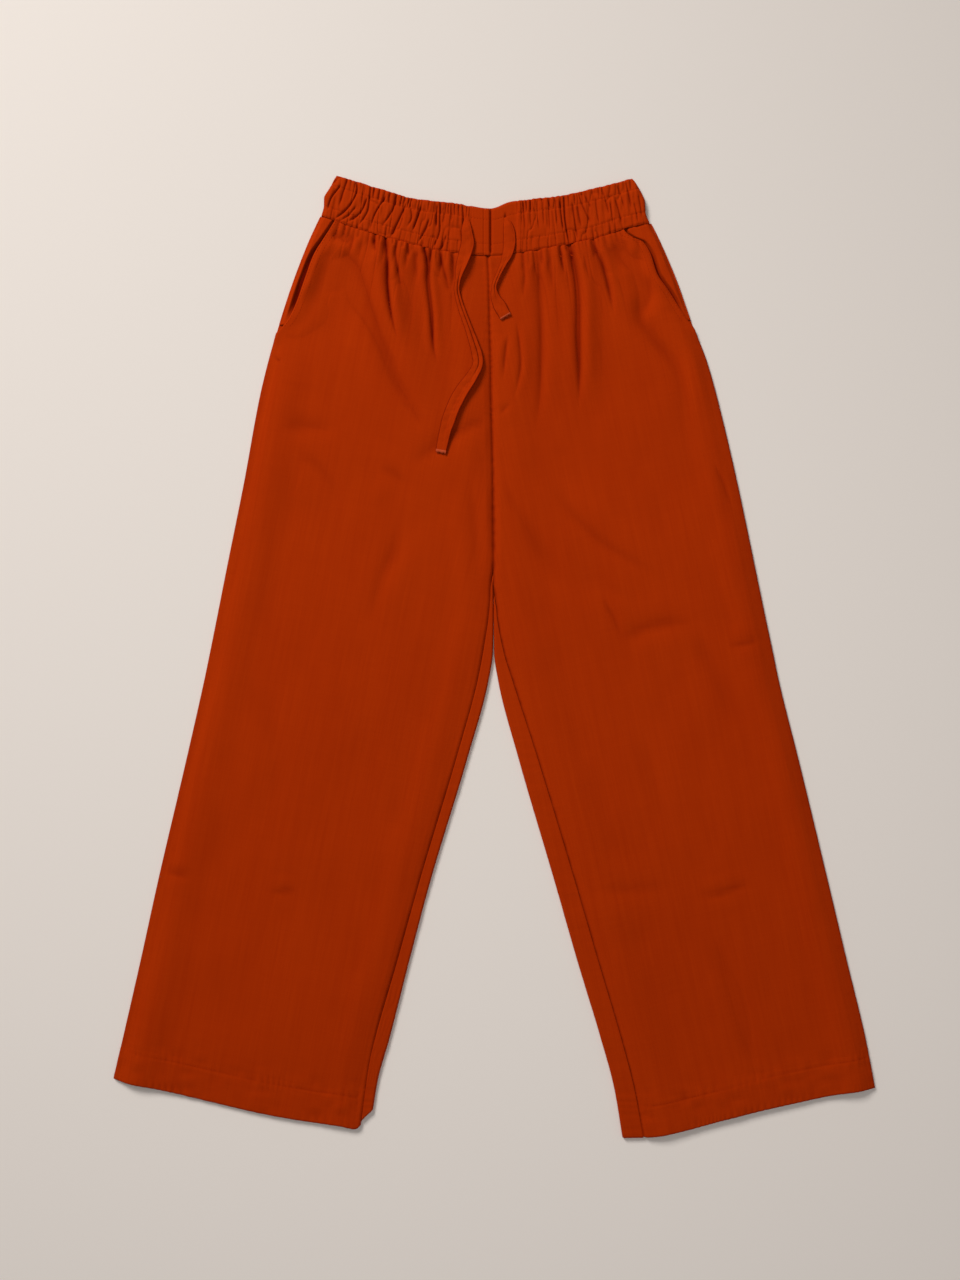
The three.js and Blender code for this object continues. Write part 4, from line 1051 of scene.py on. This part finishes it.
def band_grid(proud, columns, rows):
    """Places of the waistband's grid, with its top edge frilled, and each place's share across and up."""
    across, up = np.meshgrid(columns, rows)
    seam_x = mix(band_right(0), band_left(0), across)
    top_x = mix(band_right(1), band_left(1), across)
    x = mix(band_right(up), band_left(up), across)
    frill = 0.55 * lines_relief(TOP_RUFFLES, x, 1.6) + 0.3 * hills("band frill", x)
    frill = frill * (1 - in_flat(x, *BAND_FLAT_EASE))
    wander = 0.5 * hills("band seam", x) * smooth(0.2, 0, up) * (up > 0)
    y = mix(band_seam(seam_x), band_top(top_x) + proud, up) - frill * up**6 + wander
    return x, y, across, up


def front_band(material):
    x, y, across, up = band_grid(0, edge_steps(*BAND_COLUMNS), BAND_ROWS)
    top = band_height(x, y, up, BAND_WIDTH * np.minimum(across, 1 - across))
    low = np.maximum(top - BAND_SHELL, BAND_BACK + LAYER_GAP)
    shell = sheet_shell(np.stack([x, y, top], -1), np.stack([x, y, low], -1), 0.35)
    # Shade painted into the band's colour in its creases.
    painted_shade = hollowness(top, BAND_REACH, BAND_SHADE_DEEP)
    return mesh_piece("waistband_front.cloth", *shell, material, painted_shade)


def back_band(material):
    """The back of the waist: flat on the surface, with its gathers pressed into its underside."""
    x, y, _, up = band_grid(BACK_PEEK, edge_steps(*BAND_BACK_COLUMNS), BAND_BACK_ROWS)
    creases = 0.9 * lines_relief(BACK_GATHERS, x, 1.2) + 0.35 * by_stitch_rows(up, 0.05)
    creases = np.minimum(creases, 1.1)
    below_top = (1 - up) * BAND_TALL
    top = BAND_BACK - rounded(below_top, 1.5, 0.5)
    under = np.minimum(creases + rounded(below_top, 2, 0.6), top - 0.5)
    shell = sheet_shell(np.stack([x, y, under], -1), np.stack([x, y, top], -1), 0.3, shown_up=False)
    return mesh_piece("waistband_back.cloth", *shell, material)


def cloth_top(x, y):
    """The upper side of whichever piece lies on top at each place."""
    seam_y = band_seam(x)
    up = np.clip((y - seam_y) / (band_top(x) - seam_y), 0, 1)
    split = LEGS[0].front_inner(y) + SEAM_GAP / 2
    legs = np.where(x < split, front_top(LEGS[0], x, y), front_top(LEGS[1], x, y))
    edge = np.minimum(x - band_right(up), band_left(up) - x)
    return np.where(y < seam_y, legs, band_height(x, y, up, edge))


def column(route, name, count):
    """A route's column at even steps along its points."""
    rows = [{"i": i, name: row[name]} for i, row in enumerate(route)]
    return curve(rows, "i", name)(np.linspace(0, len(route) - 1, count))


def tie_rest(line, across, half):
    """The least height of a tie's underside along its line, clear of the cloth under it."""
    under = line[:, None] + across[:, None] * (half[:, None] * np.linspace(-1, 1, 9))[..., None]
    heights = cloth_top(under[..., 0], under[..., 1]).max(1)
    spread = np.array([heights[max(i - 3, 0):i + 4].max() for i in range(len(line))])
    return np.convolve(np.pad(spread, 3, "edge"), np.ones(7) / 7, "valid") + TIE_GAP


def tie_sides(route, line, across):
    """The upper and the lower side of a tie, and the height that it rests at along its line."""
    count = len(line)
    width, folded, tilt, lift = (column(route, key, count) for key in ("wide", "folded", "tilt", "lift"))
    half = TIE_WIDTH / 2 * width
    rest = tie_rest(line, across, half) + lift
    half = half * (1 + 0.05 * hills("tie width", line[:, 0], line[:, 1]))
    folded, tilt, base = folded[:, None], tilt[:, None], rest[:, None]
    share = TIE_SHARES
    place = line[:, None] - across[:, None] * (half[:, None] * share)[..., None]
    step = folded * (0.9 * smooth(-0.15, -0.08, share) - 1.1 * bell(share + 0.15, 0.1))
    wobble = 0.25 + 0.3 * hills("tie", line[:, :1], line[:, 1:])
    uneven = hills("tie crown", line[:, :1] + 5 * share, line[:, 1:] + 0 * share)
    crown = wobble * (1 - share**2) + 0.3 * uneven
    stitching = 0.25 * bell(share + 0.72, 0.1) * (1 - folded)
    middle = base + np.maximum(-tilt * share, 0) + TIE_CLOTH / 2
    thick = TIE_CLOTH * np.clip((1 - share**2) ** 0.35, 0.25, 1)
    top = middle + thick / 2 + step + crown - stitching
    upper = np.concatenate([place, top[..., None]], -1)
    lower = np.concatenate([place, (middle - thick / 2)[..., None]], -1)
    return upper, lower, rest


def tie(name, route, material, raw_edge):
    """A flat tie of folded cloth along its route, with a stitched edge and a frayed end."""
    line = smooth_line([(row["x"] / MM, row["y"] / MM) for row in route])
    tangent = np.gradient(line, axis=0)
    tangent /= np.linalg.norm(tangent, axis=1, keepdims=True)
    across = np.stack([-tangent[:, 1], tangent[:, 0]], -1)
    upper, lower, rest = tie_sides(route, line, across)
    points, faces = sheet_shell(upper, lower, 0.2)
    threads, thread_faces = frayed_end(upper[-1], lower[-1], tangent[-1], len(points))
    # Shade painted into the tie's colour in its creases, and dark along both its edges.
    painted_shade = hollowness(upper[..., 2] - rest[:, None], TIE_REACH, TIE_SHADE_DEEP).reshape(upper.shape[:2])
    painted_shade = np.maximum(painted_shade, TIE_EDGE_SHADE * (np.abs(TIE_SHARES) > 0.93)).ravel()
    piece = mesh_piece(name, np.vstack([points, threads]), faces + thread_faces, material, painted_shade)
    piece.data.materials.append(raw_edge)
    row_faces = len(TIE_SHARES) - 1
    cut_end = range((len(line) - 2) * row_faces, (len(line) - 1) * row_faces)
    frayed = range(len(faces), len(faces) + len(thread_faces))
    for index in (*cut_end, *frayed):
        piece.data.polygons[index].material_index = 1
    path = np.column_stack([line, rest + TIE_CLOTH / 2]) * MM
    return piece, path.tolist()


def fray_thread(rng, upper, lower, direction):
    """The rings of one loose thread: a three-sided tapering tube out of a cut end."""
    i = rng.uniform(0.03, 0.97) * (len(upper) - 1)
    low = int(i)
    high = min(low + 1, len(upper) - 1)
    on_top = mix(upper[low], upper[high], i - low)
    below = mix(lower[low], lower[high], i - low)
    root = mix(below, on_top, rng.uniform(0.2, 0.9))
    way = np.array([direction[0], direction[1], rng.uniform(-0.15, 0.1)])
    way[:2] += rng.uniform(-0.35, 0.35, 2)
    way /= np.linalg.norm(way)
    side = np.array([-way[1], way[0], 0])
    long, radius = rng.uniform(0.5, 1.4), rng.uniform(0.14, 0.22)
    rings = []
    for reach, size in ((-0.8, 1), (0.5 * long, 0.9), (long, 0.5)):
        for angle in (0, 2.1, 4.2):
            spoke = side * math.cos(angle) + np.array([0, 0, math.sin(angle)])
            rings.append(root + way * reach + radius * size * spoke)
    return rings


def tube_faces(first, rings, sides):
    """The faces of a closed tube whose rings start at a point."""
    faces = []
    for ring in range(0, (rings - 1) * sides, sides):
        for k in range(sides):
            a, b = first + ring + k, first + ring + (k + 1) % sides
            faces.append([a, b, b + sides, a + sides])
    last = first + (rings - 1) * sides
    faces.append([first, *range(first + sides - 1, first, -1)])
    faces.append(list(range(last, last + sides)))
    return faces


def frayed_end(upper, lower, direction, first):
    """Short loose threads along a cut end."""
    rng = np.random.default_rng(83)
    points, faces = [], []
    for _ in range(FRAY_THREADS):
        faces += tube_faces(first + len(points), 3, 3)
        points += fray_thread(rng, upper, lower, direction)
    return np.array(points), faces


def stitch_row(xs, ys, long, gap):
    """The two ends of each stitch along a row that runs through the given places."""
    done = np.append(0, np.cumsum(np.hypot(np.diff(xs), np.diff(ys))))
    starts = np.arange(gap, done[-1] - long, long + gap)
    ends = np.stack([starts, starts + long], -1)
    return np.stack([np.interp(ends, done, xs), np.interp(ends, done, ys)], -1)


def stitches(name, rows, material):
    """Small rounded threads that lie in the cloth along each row."""
    ends = np.concatenate(rows)
    shares = np.array([0, 0.25, 0.75, 1])
    places = ends[:, :1] + (ends[:, 1:] - ends[:, :1]) * shares[:, None]
    height = cloth_top(places[..., 0], places[..., 1]) + THREAD * np.array([-0.9, 0.25, 0.25, -0.9])
    way = ends[:, 1] - ends[:, 0]
    way /= np.linalg.norm(way, axis=1, keepdims=True)
    side = np.stack([-way[:, 1], way[:, 0]], -1)
    points, faces = [], []
    for ring, size in enumerate((0.5, 1, 1, 0.5)):
        for angle in (0, 0.5 * math.pi, math.pi, 1.5 * math.pi):
            plan = places[:, ring] + side * THREAD * size * math.cos(angle)
            points.append(np.column_stack([plan, height[:, ring] + THREAD * size * math.sin(angle)]))
    points = np.stack(points, 1)
    for first in range(0, points.shape[0] * points.shape[1], points.shape[1]):
        faces += tube_faces(first, 4, 4)
    return mesh_piece(name, points.reshape(-1, 3), faces, material)


def leg_stitches(leg, material):
    """The hem's row, and the two rows along the pocket's mouth."""
    x = np.linspace(float(leg.front_outer(HEM_Y)), float(leg.front_inner(HEM_Y)), 300)
    level = leg.hem(x) + HEM_ROW
    inside = leg.side * (leg.front_outer(level) - x) > HEM_ROW_END
    inside &= leg.side * (x - leg.front_inner(level)) > HEM_ROW_END
    rows = [stitch_row(x[inside], level[inside], 2.6, 0.7)]
    y = np.linspace(leg.mouth_end + 6, float(band_seam(leg.mouth(WAIST_Y))) - 4, 200)
    for away in MOUTH_ROWS:
        rows.append(stitch_row(leg.mouth(y) - leg.side * away, y, 2.4, 0.7))
    return stitches(f"front_leg_{leg.name}.stitches", rows, material)


def band_stitches(material):
    """The rows that sew the gathered band's elastic down."""
    rows = []
    for up in STITCH_ROWS:
        x = np.linspace(float(band_right(up)) + 3, float(band_left(up)) - 3, 500)
        rows.append(stitch_row(x, mix(band_seam(x), band_top(x), up), 2.2, 0.9))
    return stitches("waistband_front.stitches", rows, material)


class Nodes:
    """A new material with short ways to add its nodes, set them and link them."""

    def __init__(self, name, surface):
        self.material = bpy.data.materials.new(name)
        self.material.use_nodes = True
        self.tree = self.material.node_tree
        self.shader = self.tree.nodes["Principled BSDF"]
        for label, value in surface.items():
            self.shader.inputs[label].default_value = value

    def add(self, kind, inputs=None, **settings):
        node = self.tree.nodes.new(kind)
        for key, value in settings.items():
            setattr(node, key, value)
        for label, value in (inputs or {}).items():
            node.inputs[label].default_value = value
        return node

    def link(self, output, into):
        self.tree.links.new(output, into)

    def mapped(self, source, inputs):
        """A source's places after a mapping."""
        mapping = self.add("ShaderNodeMapping", inputs)
        self.link(source, mapping.inputs["Vector"])
        return mapping.outputs["Vector"]

    def pattern(self, places, scale, detail, roughness):
        """Noise that is stretched by a different scale along each axis."""
        texture = self.add("ShaderNodeTexNoise", {"Scale": 1.0, "Detail": detail, "Roughness": roughness})
        self.link(self.mapped(places, {"Scale": scale}), texture.inputs["Vector"])
        return texture.outputs["Fac"]

    def weave(self, places, direction):
        inputs = {"Scale": 520.0, "Distortion": 0.6, "Detail": 1, "Detail Scale": 3}
        wave = self.add("ShaderNodeTexWave", inputs, wave_type="BANDS", bands_direction=direction)
        self.link(places, wave.inputs["Vector"])
        return wave.outputs["Fac"]

    def blend(self, a, b, share):
        node = self.add("ShaderNodeMix", {0: share}, data_type="FLOAT")
        self.link(a, node.inputs[2])
        self.link(b, node.inputs[3])
        return node.outputs[0]

    def ramp(self, value, first, last, ends=(0, 1)):
        """A colour that changes from first to last as the value runs between two ends."""
        node = self.add("ShaderNodeValToRGB")
        for element, position, colour in zip(node.color_ramp.elements, ends, (first, last)):
            element.position = position
            element.color = (*colour, 1)
        self.link(value, node.inputs["Fac"])
        return node.outputs["Color"]


def cloth_material(name, colours=CLOTH_COLOURS, slub=0.5, grain=0):
    """Matt plain-weave cotton with uneven threads, and shade painted into its colour where the points lie in
    creases and hollows. Grain is how far the warp leans from +Y, in degrees.
    """
    light, dark, painted_shade_colour = colours
    nodes = Nodes(name, CLOTH_SURFACE)
    position = nodes.add("ShaderNodeTexCoord").outputs["Object"]
    places = nodes.mapped(position, {"Rotation": (0, 0, math.radians(grain))})
    threads = nodes.blend(nodes.pattern(places, *WARP), nodes.pattern(places, *WEFT), 0.35)
    streaked = nodes.blend(threads, nodes.pattern(places, *STREAKS), 0.28)
    uneven = nodes.blend(streaked, nodes.pattern(places, *BROAD), 0.25)
    painted_shade = nodes.add("ShaderNodeAttribute", attribute_name="painted_shade")
    shaded = nodes.add("ShaderNodeMix", data_type="RGBA")
    shaded.inputs[7].default_value = (*painted_shade_colour, 1)
    nodes.link(painted_shade.outputs["Fac"], shaded.inputs[0])
    nodes.link(nodes.ramp(uneven, dark, light, (0.32, 0.68)), shaded.inputs[6])
    nodes.link(shaded.outputs[2], nodes.shader.inputs["Base Color"])
    woven = nodes.blend(nodes.weave(places, "X"), nodes.weave(places, "Y"), 0.5)
    bump = nodes.add("ShaderNodeBump", {"Strength": 0.55, "Distance": 0.00035})
    nodes.link(nodes.blend(woven, threads, slub), bump.inputs["Height"])
    nodes.link(bump.outputs["Normal"], nodes.shader.inputs["Normal"])
    return nodes.material


def floor_material():
    nodes = Nodes("pale_floor", FLOOR_SURFACE)
    # Painted light on the floor: its colour grows darker towards the waist's end, where the key lamp shines
    # stronger.
    split = nodes.add("ShaderNodeSeparateXYZ")
    nodes.link(nodes.add("ShaderNodeTexCoord").outputs["Object"], split.inputs[0])
    span = nodes.add("ShaderNodeMapRange", {"From Min": -FLOOR_SPAN, "From Max": FLOOR_SPAN})
    nodes.link(split.outputs["Y"], span.inputs["Value"])
    colour = nodes.ramp(span.outputs["Result"], FLOOR_PAINTED_LIGHT_AT_HEM, FLOOR_PAINTED_SHADE_AT_WAIST)
    nodes.link(colour, nodes.shader.inputs["Base Color"])
    return nodes.material


def plain_floor():
    """The pale surface, which isn't part of the trousers."""
    mesh = bpy.data.meshes.new("floor")
    signs = ((-1, -1), (1, -1), (1, 1), (-1, 1))
    mesh.from_pydata([(FLOOR_HALF * x, FLOOR_HALF * y, FLOOR_LEVEL) for x, y in signs], [], [(0, 1, 2, 3)])
    mesh.materials.append(floor_material())
    in_scene("floor", mesh)


def camera():
    data = bpy.data.cameras.new("camera")
    data.sensor_width = SENSOR
    data.lens = SENSOR * VIEW_DISTANCE / VIEW_HEIGHT
    seen = in_scene("camera", data)
    seen.location = (VIEW_CENTRE[0] * MM, VIEW_CENTRE[1] * MM, (CLOTH_LEVEL + VIEW_DISTANCE) * MM)
    bpy.context.scene.camera = seen


def area_light(name, place, target, size, power, colour):
    data = bpy.data.lights.new(name, "AREA")
    data.size = size
    data.energy = power
    data.color = colour
    light = in_scene(name, data)
    light.location = place
    light.rotation_euler = (Vector(target) - Vector(place)).to_track_quat("-Z", "Y").to_euler()


def studio():
    """Soft light that is stronger from the waist's end and from the right leg's side."""
    for lamp in LAMPS:
        area_light(**lamp)
    world = bpy.data.worlds.new("studio")
    world.use_nodes = True
    background = world.node_tree.nodes["Background"]
    background.inputs["Color"].default_value = (*WORLD_COLOUR, 1)
    background.inputs["Strength"].default_value = WORLD_STRENGTH
    bpy.context.scene.world = world
    bpy.context.scene.view_settings.view_transform = "Standard"


def dress(piece, node):
    """The piece stands for its node and moves with the part."""
    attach(piece, "root")
    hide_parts(node)


def sewn_on(threads):
    """Stitches, which move with the part and stand for none of its nodes."""
    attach(threads, "root")
    return threads


camera()
tie_cloth = cloth_material("tie_cotton", slub=0.4)
raw_edge = cloth_material("raw_edge", RAW_COLOURS, 0.6)
for side_name, route in (("right", RIGHT_TIE), ("left", LEFT_TIE)):
    piece, path = tie(f"drawstring_{side_name}.cloth", route, tie_cloth, raw_edge)
    dress(piece, f"drawstring_{side_name}")

plain_floor()
studio()
band_cloth = cloth_material("band_cotton")
thread = cloth_material("sewing_thread", THREAD_COLOURS, 0.8)
for leg in LEGS:
    leg_cloth = cloth_material(f"leg_cotton_{leg.name}", grain=LEG_GRAIN[leg.name])
    back = back_leg(leg, leg_cloth)
    dress(back, f"back_leg_{leg.name}")
    facing = pocket_facing(leg, leg_cloth)
    dress(facing, f"pocket_facing_{leg.name}")
    front = front_leg(leg, leg_cloth)
    dress(front, f"front_leg_{leg.name}")
    threads = sewn_on(leg_stitches(leg, thread))
back = back_band(band_cloth)
dress(back, "waistband_back")
front = front_band(band_cloth)
dress(front, "waistband_front")
threads = sewn_on(band_stitches(thread))
